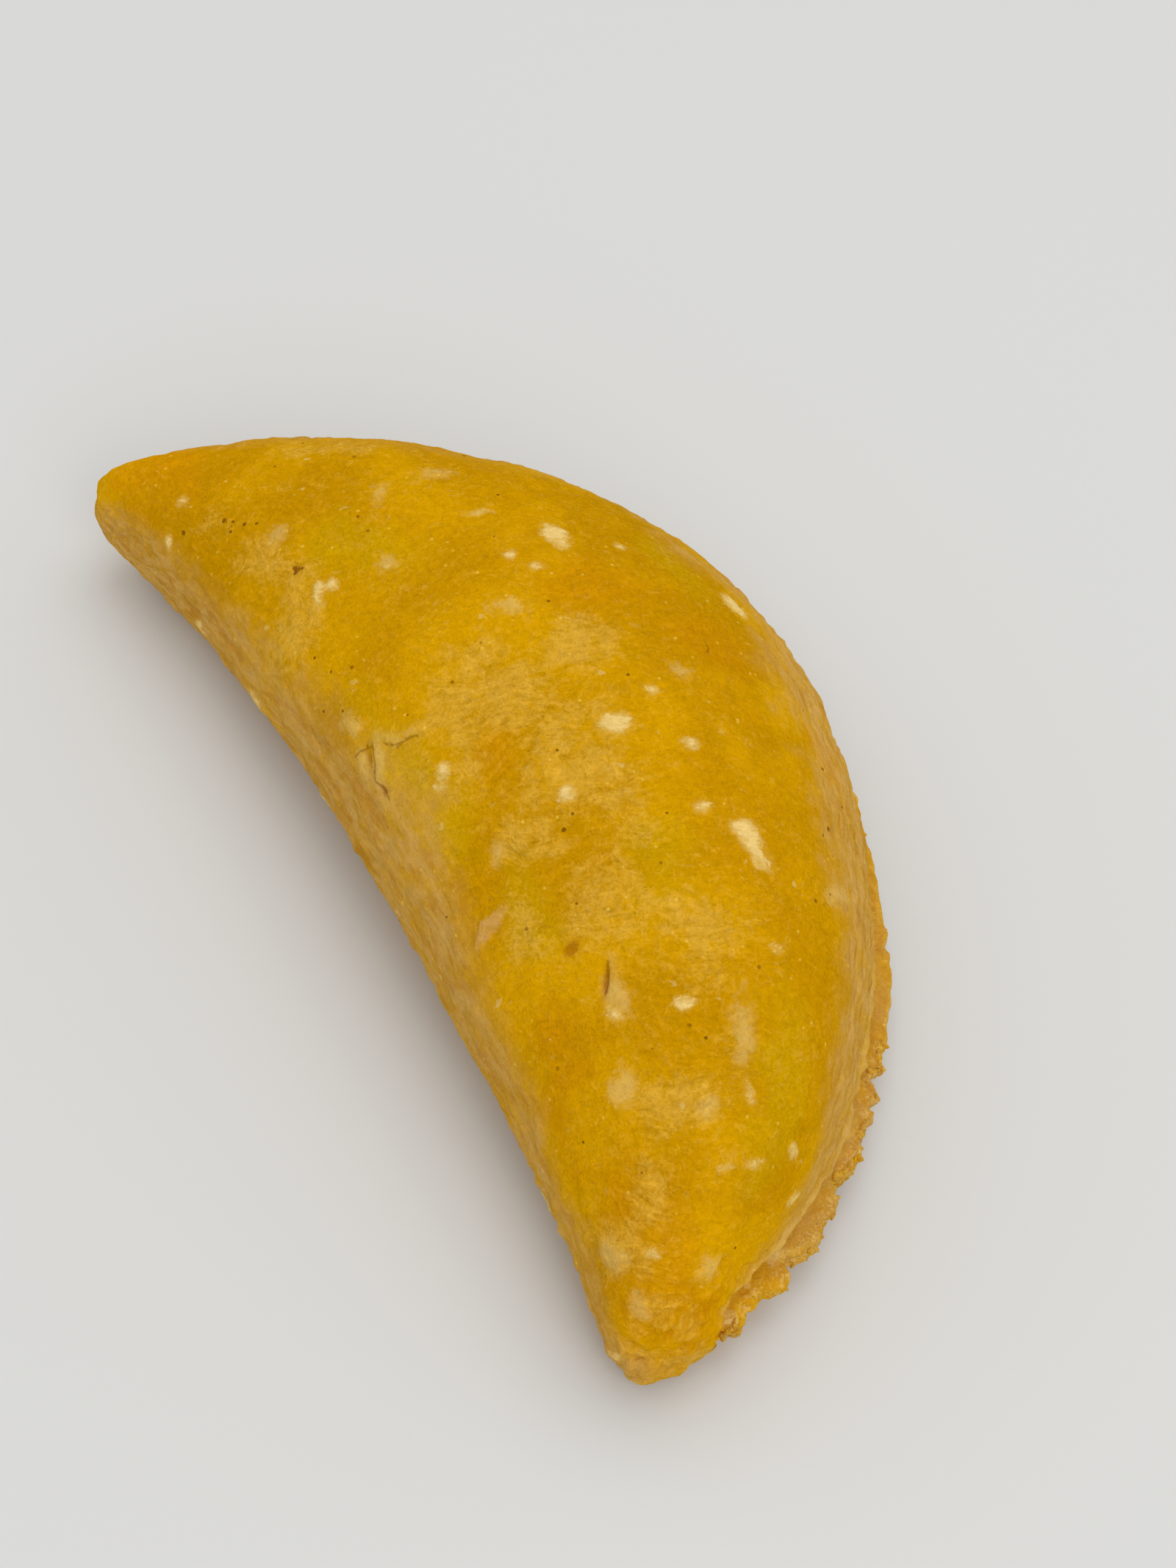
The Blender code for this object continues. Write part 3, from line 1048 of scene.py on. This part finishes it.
class Nodes:
    """Short calls that add shader nodes to one tree and join them."""

    def __init__(self, tree):
        self.tree = tree

    def add(self, kind, **settings):
        node = self.tree.nodes.new(kind)
        for name, value in settings.items():
            setattr(node, name, value)
        return node

    def put(self, socket, value):
        """Join an output to a socket, or set a plain value on it."""
        if isinstance(value, bpy.types.NodeSocket):
            self.tree.links.new(value, socket)
        elif hasattr(value, "__len__") and len(value) == 3 and socket.type == "RGBA":
            socket.default_value = (*value, 1.0)
        else:
            socket.default_value = value

    def math(self, operation, first, second=0.0, third=None):
        node = self.add("ShaderNodeMath", operation=operation)
        self.put(node.inputs[0], first)
        self.put(node.inputs[1], second)
        if third is not None:
            self.put(node.inputs[2], third)
        return node.outputs[0]

    def times(self, first, second):
        return self.math("MULTIPLY", first, second)

    def plus(self, first, second):
        return self.math("ADD", first, second)

    def swing(self, value, amount):
        """A noise value centred on zero and multiplied."""
        return self.math("MULTIPLY_ADD", value, amount, -0.5 * amount)

    def blend(self, share, first, second):
        """Colour that goes from first to second as share goes from 0 to 1."""
        node = self.add("ShaderNodeMix", data_type="RGBA")
        self.put(node.inputs["Factor"], share)
        self.put(node.inputs["A"], first)
        self.put(node.inputs["B"], second)
        return node.outputs["Result"]

    def shade(self, colour, amount):
        """Colour times a number that varies over the surface."""
        node = self.add("ShaderNodeMix", data_type="RGBA", blend_type="MULTIPLY")
        node.inputs["Factor"].default_value = 1.0
        self.put(node.inputs["A"], colour)
        self.put(node.inputs["B"], amount)
        return node.outputs["Result"]

    def ease(self, value, start, end, low=0.0, high=1.0):
        """Smooth step from low at start to high at end."""
        node = self.add("ShaderNodeMapRange", interpolation_type="SMOOTHSTEP")
        self.put(node.inputs["Value"], value)
        node.inputs["From Min"].default_value = start
        node.inputs["From Max"].default_value = end
        node.inputs["To Min"].default_value = low
        node.inputs["To Max"].default_value = high
        return node.outputs["Result"]

    def noise(self, vector, size, detail=3.0, roughness=0.55, distortion=0.0):
        """Noise whose features have a size in the vector's own units."""
        node = self.add("ShaderNodeTexNoise")
        self.put(node.inputs["Vector"], vector)
        node.inputs["Scale"].default_value = 1.0 / size
        node.inputs["Detail"].default_value = detail
        node.inputs["Roughness"].default_value = roughness
        node.inputs["Distortion"].default_value = distortion
        return node.outputs["Fac"]

    def spots(self, vector):
        """Distance from scattered points, in cells, and two random values for each point."""
        node = self.add("ShaderNodeTexVoronoi")
        self.put(node.inputs["Vector"], vector)
        node.inputs["Scale"].default_value = 1.0
        parts = self.add("ShaderNodeSeparateColor")
        self.tree.links.new(node.outputs["Color"], parts.inputs["Color"])
        return node.outputs["Distance"], parts.outputs["Red"], parts.outputs["Green"]

    def sized(self, vector, sizes, turn=0.0):
        """The vector turned about Z, then divided by a size along each direction."""
        node = self.add("ShaderNodeMapping", vector_type="TEXTURE")
        self.put(node.inputs["Vector"], vector)
        node.inputs["Scale"].default_value = sizes
        node.inputs["Rotation"].default_value = (0.0, 0.0, turn)
        return node.outputs["Vector"]

    def warped(self, vector, size, amount):
        """The vector pushed about by noise of a given size."""
        pattern = self.add("ShaderNodeTexNoise")
        self.put(pattern.inputs["Vector"], vector)
        pattern.inputs["Scale"].default_value = 1.0 / size
        pattern.inputs["Detail"].default_value = 1.0
        push = self.add("ShaderNodeVectorMath", operation="SUBTRACT")
        self.put(push.inputs[0], pattern.outputs["Color"])
        push.inputs[1].default_value = (0.5, 0.5, 0.5)
        moved = self.add("ShaderNodeVectorMath", operation="MULTIPLY_ADD")
        self.put(moved.inputs[0], push.outputs["Vector"])
        moved.inputs[1].default_value = (amount, amount, amount)
        self.put(moved.inputs[2], vector)
        return moved.outputs["Vector"]

    def value(self, name):
        return self.add("ShaderNodeAttribute", attribute_name=name).outputs["Fac"]

    def place(self):
        return self.add("ShaderNodeTexCoord").outputs["Object"]

    def bump(self, height):
        """Normal from a height in millimetres."""
        node = self.add("ShaderNodeBump")
        node.inputs["Strength"].default_value = 1.0
        node.inputs["Distance"].default_value = MM
        self.put(node.inputs["Height"], height)
        return node.outputs["Normal"]


def new_material(name):
    material = bpy.data.materials.new(name)
    material.use_nodes = True
    tree = material.node_tree
    return material, Nodes(tree), tree.nodes["Principled BSDF"]


GRAIN_GROUP = "corn_grain"


def grain_group():
    """Fine corn grain for the crust and its crumbs: a colour shade, tiny painted highlights of oil and a
    height.
    """
    group = bpy.data.node_groups.get(GRAIN_GROUP)
    if group:
        return group
    group = bpy.data.node_groups.new(GRAIN_GROUP, "ShaderNodeTree")
    group.interface.new_socket("Place", in_out="INPUT", socket_type="NodeSocketVector")
    group.interface.new_socket("Contrast", in_out="INPUT", socket_type="NodeSocketFloat")
    for name in ("Shade", "Painted Glints", "Height"):
        group.interface.new_socket(name, in_out="OUTPUT", socket_type="NodeSocketFloat")
    nodes = Nodes(group)
    entry = nodes.add("NodeGroupInput")
    leave = nodes.add("NodeGroupOutput")
    place = entry.outputs["Place"]
    coarse = nodes.noise(place, 0.62 * MM, 3.0, 0.6)
    fine = nodes.noise(place, 0.24 * MM, 2.0, 0.6)
    both = nodes.plus(nodes.times(coarse, 0.5), nodes.times(fine, 0.5))
    shade = nodes.math("MULTIPLY_ADD", nodes.swing(both, 1.0), entry.outputs["Contrast"], 1.0)
    distance, chosen, _ = nodes.spots(nodes.sized(place, (1.5 * MM, 1.5 * MM, 1.5 * MM)))
    # Painted highlights: tiny bright dots that stand in for light caught by drops of oil.
    painted_glints = nodes.times(nodes.ease(distance, 0.17, 0.08), nodes.ease(chosen, 0.72, 0.78))
    nodes.put(leave.inputs["Shade"], shade)
    nodes.put(leave.inputs["Painted Glints"], painted_glints)
    nodes.put(leave.inputs["Height"], both)
    return group


def add_grain(nodes, place, contrast):
    grain = nodes.add("ShaderNodeGroup", node_tree=grain_group())
    nodes.put(grain.inputs["Place"], place)
    nodes.put(grain.inputs["Contrast"], contrast)
    return grain.outputs


# Plan direction in which the fibres of the dough run, away from +X.
FIBRE_TURN = math.radians(63.5)


def crust_material(finish):
    """Golden crust: gold tones with painted shading, mottled pale patches, drier streaked sides that are
    partly a painted reflection, flecks, specks, cracks with painted shadow and painted highlights of oil.
    """
    material, nodes, shader = new_material("fried_corn_crust")
    place = nodes.place()
    grain = add_grain(nodes, place, 0.50)
    dry_and_sheen = nodes.value("dry_and_sheen")
    patch = nodes.value("patch")
    wavy = nodes.warped(place, 10.0 * MM, 9.0 * MM)
    fibre_cells = nodes.sized(wavy, (3.0 * MM, 0.8 * MM, 0.8 * MM), FIBRE_TURN)
    fibre = nodes.noise(fibre_cells, 1.0, 3.0, 0.6)
    hair_cells = nodes.sized(wavy, (1.6 * MM, 0.26 * MM, 0.40 * MM), FIBRE_TURN)
    hair = nodes.noise(hair_cells, 1.0, 1.0, 0.5)
    lace = nodes.noise(place, 1.5 * MM, 5.0, 0.68, 0.6)
    curl = nodes.noise(place, 0.70 * MM, 3.0, 0.6, 1.2)
    cloud = nodes.noise(place, 5.5 * MM, 4.0, 0.6, 0.4)

    # Painted shading: the tone goes toward darker gold in the shade patches and toward brighter gold at the
    # tips.
    tone = nodes.noise(place, 16.0 * MM, 3.0, 0.5, 0.3)
    painted_shading = nodes.value("painted_shading")
    tone = nodes.math("MULTIPLY_ADD", painted_shading, -0.14, tone)
    colour = nodes.blend(nodes.ease(tone, 0.38, 0.62), finish.gold_deep, finish.gold_bright)
    warm = nodes.times(nodes.value("warm"), nodes.ease(lace, 0.30, 0.60, 0.55, 0.95))
    colour = nodes.blend(warm, colour, finish.orange)
    colour = nodes.blend(nodes.times(nodes.value("olive"), 0.55), colour, finish.olive)
    mottle = nodes.plus(nodes.times(lace, 0.40), nodes.times(fibre, 0.16))
    mottle = nodes.math("MULTIPLY_ADD", curl, 0.22, mottle)
    mottle = nodes.math("MULTIPLY_ADD", cloud, 0.18, mottle)
    mottle = nodes.math("MULTIPLY_ADD", patch, 0.135, mottle)
    mottle = nodes.math("MULTIPLY_ADD", warm, -0.04, mottle)
    pale = nodes.times(nodes.ease(mottle, 0.485, 0.69), 0.90)
    colour = nodes.blend(pale, colour, finish.pale)
    arcs = thread_lines(nodes, wavy, patch)
    colour = nodes.blend(nodes.times(arcs, 0.09), colour, finish.cream)
    threads = nodes.times(nodes.swing(fibre, 0.55), nodes.math("MULTIPLY_ADD", patch, 0.6, 0.4))
    hairs = nodes.times(nodes.swing(hair, 0.42), nodes.math("MULTIPLY_ADD", patch, 0.2, 0.5))
    # The painted shading also dims the colour in its patches and lightens it at the tips.
    threads = nodes.plus(nodes.plus(threads, hairs), nodes.times(painted_shading, -0.07))
    colour = nodes.shade(colour, nodes.plus(threads, nodes.plus(nodes.swing(curl, 0.50), 1.0)))

    # Drier streaked tan sides; low on the fold side the tan is also a painted reflection of the pale floor.
    run = nodes.warped(streak_uv(nodes), 0.50, 0.16)
    streak = nodes.noise(nodes.sized(run, (0.45, 0.14, 1.0)), 1.0, 4.0, 0.6)
    fine_streak = nodes.noise(nodes.sized(run, (0.24, 0.06, 1.0)), 1.0, 3.0, 0.6)
    dry_and_sheen_share = nodes.times(dry_and_sheen, nodes.ease(streak, 0.36, 0.56, 0.40, 1.0))
    dry_and_sheen_share = nodes.times(dry_and_sheen_share, nodes.ease(cloud, 0.36, 0.52, 0.60, 1.0))
    dry_and_sheen_share = nodes.times(dry_and_sheen_share, nodes.ease(lace, 0.36, 0.52, 0.70, 1.0))
    colour = nodes.blend(dry_and_sheen_share, colour, finish.tan)
    touches = nodes.noise(nodes.sized(run, (0.5, 0.22, 1.0)), 1.0, 3.0, 0.6)
    touches = nodes.times(dry_and_sheen, nodes.ease(touches, 0.50, 0.64, 0.0, 0.50))
    colour = nodes.blend(touches, colour, finish.toast_and_groove_shade)
    streaks = nodes.plus(nodes.swing(fine_streak, 0.42), nodes.swing(streak, 0.40))
    streaked = nodes.shade(colour, nodes.plus(streaks, 1.0))
    colour = nodes.blend(dry_and_sheen, colour, streaked)

    ragged = nodes.swing(nodes.noise(place, 0.7 * MM, 3.0, 0.65), 1.2)
    milky = nodes.plus(nodes.value("milky"), nodes.swing(lace, 4.0))
    milky = nodes.ease(milky, 0.70, -0.90)
    colour = nodes.blend(nodes.times(milky, 0.34), colour, finish.cream)
    cream = nodes.plus(nodes.value("cream"), ragged)
    body = nodes.ease(cream, 0.36, -0.48)
    core = nodes.ease(nodes.plus(cream, nodes.swing(fibre, 4.0)), -0.10, -0.80)
    colour = nodes.blend(nodes.ease(cream, 0.60, -0.05, 0.0, 0.40), colour, finish.pale)
    body_share = nodes.times(body, nodes.ease(hair, 0.36, 0.60, 0.36, 0.62))
    colour = nodes.blend(body_share, colour, finish.cream)
    colour = nodes.blend(nodes.times(core, 0.50), colour, finish.kernel)
    flake = nodes.ease(nodes.plus(nodes.value("flake"), ragged), 0.30, -0.35)
    flake = nodes.times(flake, nodes.ease(curl, 0.36, 0.60, 0.45, 0.85))
    colour = nodes.blend(flake, colour, finish.peach)
    # Painted highlight: the raised edge beside each crack is lightened as if lit.
    edge = nodes.times(nodes.ease(nodes.value("edge"), 0.02, 0.45), nodes.ease(lace, 0.36, 0.58))
    colour = nodes.blend(nodes.times(edge, 0.42), colour, finish.cream)
    # Painted shade: the groove under the cornice ridge is browned as if in shadow.
    cornice = nodes.plus(nodes.value("cornice"), nodes.swing(lace, 0.8))
    ridge = nodes.ease(cornice, 0.10, 0.45, 0.0, 0.20)
    groove = nodes.ease(cornice, -0.05, -0.40, 0.0, 0.35)
    colour = nodes.blend(groove, nodes.blend(ridge, colour, finish.cream), finish.toast_and_groove_shade)
    crumbly = nodes.ease(nodes.value("crumbly"), 0.20, 0.60)
    light = nodes.times(crumbly, nodes.ease(curl, 0.50, 0.64, 0.0, 0.40))
    colour = nodes.blend(light, colour, finish.cream)
    brown = nodes.times(crumbly, nodes.ease(lace, 0.48, 0.36, 0.0, 0.35))
    colour = nodes.blend(brown, colour, finish.toast_and_groove_shade)

    grits = nodes.sized(wavy, (1.9 * MM, 1.15 * MM, 1.15 * MM), FIBRE_TURN)
    small = nodes.times(scattered(nodes, grits, 0.45, 0.20), nodes.ease(cloud, 0.40, 0.62, 0.02, 0.14))
    large = scattered(nodes, nodes.sized(place, (4.4 * MM, 3.8 * MM, 3.8 * MM), FIBRE_TURN), 0.60, 0.13)
    flecks = nodes.math("MAXIMUM", small, nodes.times(large, 0.36))
    colour = nodes.blend(flecks, colour, finish.cream)

    dark = dark_marks(nodes, place, lace)
    colour = nodes.blend(dark, colour, finish.brown)
    # Partly painted shade: the fissure pits are darkened as if in shadow, and the ring speck keeps its own
    # brown.
    pit = nodes.ease(nodes.value("pit"), 0.20, -0.30)
    colour = nodes.blend(nodes.times(pit, 0.50), colour, finish.rust_and_pit_shade)
    colour = nodes.shade(colour, grain["Shade"])
    # Painted highlights: the tiny dots of oil are lightened in the colour, not made by reflection.
    colour = nodes.blend(nodes.times(grain["Painted Glints"], 0.42), colour, finish.painted_glint)
    nodes.put(shader.inputs["Base Color"], colour)

    roughness = nodes.math("MULTIPLY_ADD", dry_and_sheen, 0.14, 0.42)
    nodes.put(shader.inputs["Roughness"], nodes.math("MULTIPLY_ADD", pale, 0.10, roughness))

    height = nodes.times(grain["Height"], 0.20)
    height = nodes.math("MULTIPLY_ADD", fibre, nodes.math("MULTIPLY_ADD", patch, 0.14, 0.08), height)
    height = nodes.math("MULTIPLY_ADD", hair, nodes.math("MULTIPLY_ADD", patch, 0.05, 0.03), height)
    height = nodes.math("MULTIPLY_ADD", lace, 0.20, height)
    height = nodes.math("MULTIPLY_ADD", curl, 0.12, height)
    height = nodes.math("MULTIPLY_ADD", fine_streak, nodes.times(dry_and_sheen, 0.20), height)
    height = nodes.math("MULTIPLY_ADD", body, 0.04, height)
    height = nodes.math("MULTIPLY_ADD", arcs, 0.05, height)
    height = nodes.math("MULTIPLY_ADD", flecks, 0.08, height)
    height = nodes.math("MULTIPLY_ADD", dark, -0.10, height)
    nodes.put(shader.inputs["Normal"], nodes.bump(height))
    set_dough(shader)
    return material


def thread_lines(nodes, place, patch):
    """Share of pale threads: short pieces of the level lines of a noise, like curved fibres."""
    level = nodes.math("FRACT", nodes.times(nodes.noise(place, 5.0 * MM, 1.5, 0.5), 11.0))
    line = nodes.ease(nodes.math("ABSOLUTE", nodes.swing(level, 1.0)), 0.11, 0.02)
    broken = nodes.ease(nodes.noise(place, 1.9 * MM, 2.0), 0.50, 0.62)
    return nodes.times(nodes.times(line, broken), nodes.math("MULTIPLY_ADD", patch, 0.6, 0.4))


def dark_marks(nodes, place, lace):
    """Share of brown: painted shadow in the cracks, named specks, and pores that crowd in the porous
    patches.
    """
    # Painted shadow: the cracks are browned as if shade lay in them.
    side = nodes.math("ABSOLUTE", nodes.plus(nodes.value("crack_side"), nodes.swing(lace, 0.75)))
    near_crack = nodes.ease(nodes.value("crack_near"), 0.35, 0.80)
    crack = nodes.times(nodes.ease(side, 0.22, 0.04), near_crack)
    x = nodes.value("speck_x")
    y = nodes.value("speck_y")
    distance = nodes.math("SQRT", nodes.plus(nodes.times(x, x), nodes.times(y, y)))
    near_speck = nodes.ease(nodes.value("speck_near"), 0.30, 0.60)
    speck = nodes.times(nodes.ease(distance, 1.15, 0.55), near_speck)
    away, chosen, varied = nodes.spots(nodes.sized(place, (2.4 * MM, 2.4 * MM, 2.4 * MM)))
    chosen = nodes.math("MULTIPLY_ADD", nodes.value("porous"), 0.42, chosen)
    pore = nodes.ease(nodes.math("DIVIDE", away, nodes.plus(varied, 0.5)), 0.10, 0.05)
    pore = nodes.times(pore, nodes.ease(chosen, 0.84, 0.88))
    dark = nodes.math("MAXIMUM", nodes.times(crack, 0.48), nodes.times(speck, 0.80))
    return nodes.math("MAXIMUM", dark, nodes.times(pore, 0.60))


def set_dough(shader):
    """Values that are the same all over the dough."""
    shader.inputs["Specular IOR Level"].default_value = 0.0
    shader.inputs["Subsurface Weight"].default_value = 0.10
    shader.inputs["Subsurface Radius"].default_value = (1.0, 0.45, 0.08)
    shader.inputs["Subsurface Scale"].default_value = 1.0 * MM


def streak_uv(nodes):
    return nodes.add("ShaderNodeUVMap", uv_map="streaks").outputs["UV"]


def scattered(nodes, cells, rarity, radius):
    """Small soft dots about some of the scattered points, with a size of their own each."""
    distance, chosen, varied = nodes.spots(cells)
    wobble = nodes.swing(nodes.noise(cells, 0.22, 2.0), 5.0 * radius)
    size = nodes.math("MULTIPLY_ADD", varied, 0.75, 0.40)
    near = nodes.math("DIVIDE", nodes.plus(distance, wobble), size)
    dots = nodes.ease(near, radius, 0.45 * radius)
    return nodes.times(dots, nodes.ease(chosen, rarity, rarity + 0.03))


def crumb_material(finish):
    """Crumbs of the lip: tan to gold, a little different from place to place."""
    material, nodes, shader = new_material("fried_corn_crumb")
    place = nodes.place()
    grain = add_grain(nodes, place, 0.9)
    tone = nodes.noise(place, 3.3 * MM, 3.0, 0.6)
    colour = nodes.blend(nodes.ease(tone, 0.38, 0.62), finish.tan, finish.pale)
    spread = nodes.noise(place, 6.0 * MM, 2.0)
    colour = nodes.blend(nodes.ease(spread, 0.50, 0.70), colour, finish.gold_bright)
    colour = nodes.shade(colour, grain["Shade"])
    nodes.put(shader.inputs["Base Color"], colour)
    nodes.put(shader.inputs["Roughness"], nodes.math("MULTIPLY_ADD", tone, 0.2, 0.42))
    nodes.put(shader.inputs["Normal"], nodes.bump(nodes.times(grain["Height"], 0.30)))
    set_dough(shader)
    return material


# ----------------------------------------------------------------- operators


class EMPANADA_OT_crust(Operator):
    """Build the fine crust that stands for the empanada's solid"""

    bl_idname = "empanada.crust"
    bl_label = "Crust"

    def execute(self, context):
        scene = context.scene
        crust = FinishedCrust(scene.empanada_form)
        piece = add_piece("crust", crust_mesh(crust), crust_material(scene.empanada_finish))
        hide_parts(NODE)
        return {"FINISHED"}


class EMPANADA_OT_crumbs(Operator):
    """Add the crumbs that stick to the sealed edge"""

    bl_idname = "empanada.crumbs"
    bl_label = "Crumbs"

    def execute(self, context):
        scene = context.scene
        crust = FinishedCrust(scene.empanada_form)
        mesh = crumbs_mesh(crust, scene.empanada_form)
        add_piece("seal_crumbs", mesh, crumb_material(scene.empanada_finish))
        return {"FINISHED"}


class EMPANADA_OT_stage(Operator):
    """Set the floor, the soft lights and the camera"""

    bl_idname = "empanada.stage"
    bl_label = "Stage"

    def execute(self, context):
        stage = context.scene.empanada_stage
        add_floor(stage)
        add_lights(context.scene, stage)
        add_camera(context.scene, stage)
        return {"FINISHED"}


def add_floor(stage):
    half = 0.5 * stage.floor_size
    mesh = bpy.data.meshes.new("floor")
    corners = [(-half, -half, 0), (half, -half, 0), (half, half, 0), (-half, half, 0)]
    mesh.from_pydata(corners, [], [(0, 1, 2, 3)])
    material, _, shader = new_material("pale_floor")
    shader.inputs["Base Color"].default_value = (*stage.floor_colour, 1.0)
    shader.inputs["Roughness"].default_value = 0.6
    shader.inputs["Specular IOR Level"].default_value = 0.2
    mesh.materials.append(material)
    floor = bpy.data.objects.new("floor", mesh)
    bpy.context.scene.collection.objects.link(floor)


def aim(thing, target):
    thing.rotation_euler = (target - thing.location).to_track_quat("-Z", "Y").to_euler()


def add_area_light(name, place, size, power, target):
    lamp = bpy.data.lights.new(name, "AREA")
    lamp.shape = "DISK"
    lamp.size = size
    lamp.energy = power
    light = bpy.data.objects.new(name, lamp)
    bpy.context.scene.collection.objects.link(light)
    light.location = place
    aim(light, target)


def add_lights(scene, stage):
    middle = Vector((0.0, 0.0, 0.5 * CAD_SIZE.z))
    add_area_light("overhead", Vector((-0.24, 0.22, 0.80)), 0.8, stage.key_power, middle)
    add_area_light("fill", Vector((0.52, -0.14, 0.50)), 0.5, stage.fill_power, middle)
    world = bpy.data.worlds.new("even_sky")
    world.use_nodes = True
    background = world.node_tree.nodes["Background"]
    background.inputs["Color"].default_value = (1.0, 1.0, 1.0, 1.0)
    background.inputs["Strength"].default_value = stage.sky_strength
    scene.world = world


# The camera looks down on the fold side, from beyond the low tip, and leans a little.
CAMERA_AZIMUTH = math.radians(50.29)
CAMERA_ELEVATION = math.radians(53.32)
CAMERA_DISTANCE = 0.335
CAMERA_ROLL = math.radians(10.67)
CAMERA_TARGET = Vector((0.001, -0.001, 0.012))


def add_camera(scene, stage):
    back = Vector(
        (
            math.sin(CAMERA_AZIMUTH) * math.cos(CAMERA_ELEVATION),
            -math.cos(CAMERA_AZIMUTH) * math.cos(CAMERA_ELEVATION),
            math.sin(CAMERA_ELEVATION),
        )
    )
    camera = bpy.data.objects.new("camera", bpy.data.cameras.new("camera"))
    scene.collection.objects.link(camera)
    camera.location = CAMERA_TARGET + back * CAMERA_DISTANCE
    turn = (-back).to_track_quat("-Z", "Y").to_matrix() @ Matrix.Rotation(CAMERA_ROLL, 3, "Z")
    camera.rotation_euler = turn.to_euler()
    camera.data.lens = stage.lens
    camera.data.sensor_width = 36.0
    scene.camera = camera
    scene.view_settings.view_transform = "Standard"


# --------------------------------------------------------------------- panel


class EMPANADA_PT_panel(Panel):
    """Lists the empanada's operators and their settings"""

    bl_label = "Empanada"
    bl_idname = "EMPANADA_PT_panel"
    bl_space_type = "VIEW_3D"
    bl_region_type = "UI"
    bl_category = "Empanada"

    def draw(self, context):
        column = self.layout.column(align=True)
        for operator in OPERATORS:
            column.operator(operator.bl_idname)
        scene = context.scene
        for settings in (scene.empanada_form, scene.empanada_finish, scene.empanada_stage):
            box = self.layout.box()
            for name in settings.bl_rna.properties.keys():
                if name not in {"rna_type", "name"}:
                    box.prop(settings, name)


OPERATORS = (EMPANADA_OT_crust, EMPANADA_OT_crumbs, EMPANADA_OT_stage)
CLASSES = (EmpanadaForm, EmpanadaFinish, EmpanadaStage, *OPERATORS, EMPANADA_PT_panel)


def register():
    for kind in CLASSES:
        bpy.utils.register_class(kind)
    bpy.types.Scene.empanada_form = PointerProperty(type=EmpanadaForm)
    bpy.types.Scene.empanada_finish = PointerProperty(type=EmpanadaFinish)
    bpy.types.Scene.empanada_stage = PointerProperty(type=EmpanadaStage)


def unregister():
    del bpy.types.Scene.empanada_stage
    del bpy.types.Scene.empanada_finish
    del bpy.types.Scene.empanada_form
    for kind in reversed(CLASSES):
        bpy.utils.unregister_class(kind)


def main():
    register()
    bpy.ops.empanada.crust()
    bpy.ops.empanada.crumbs()
    bpy.ops.empanada.stage()


if __name__ == "__main__":
    main()
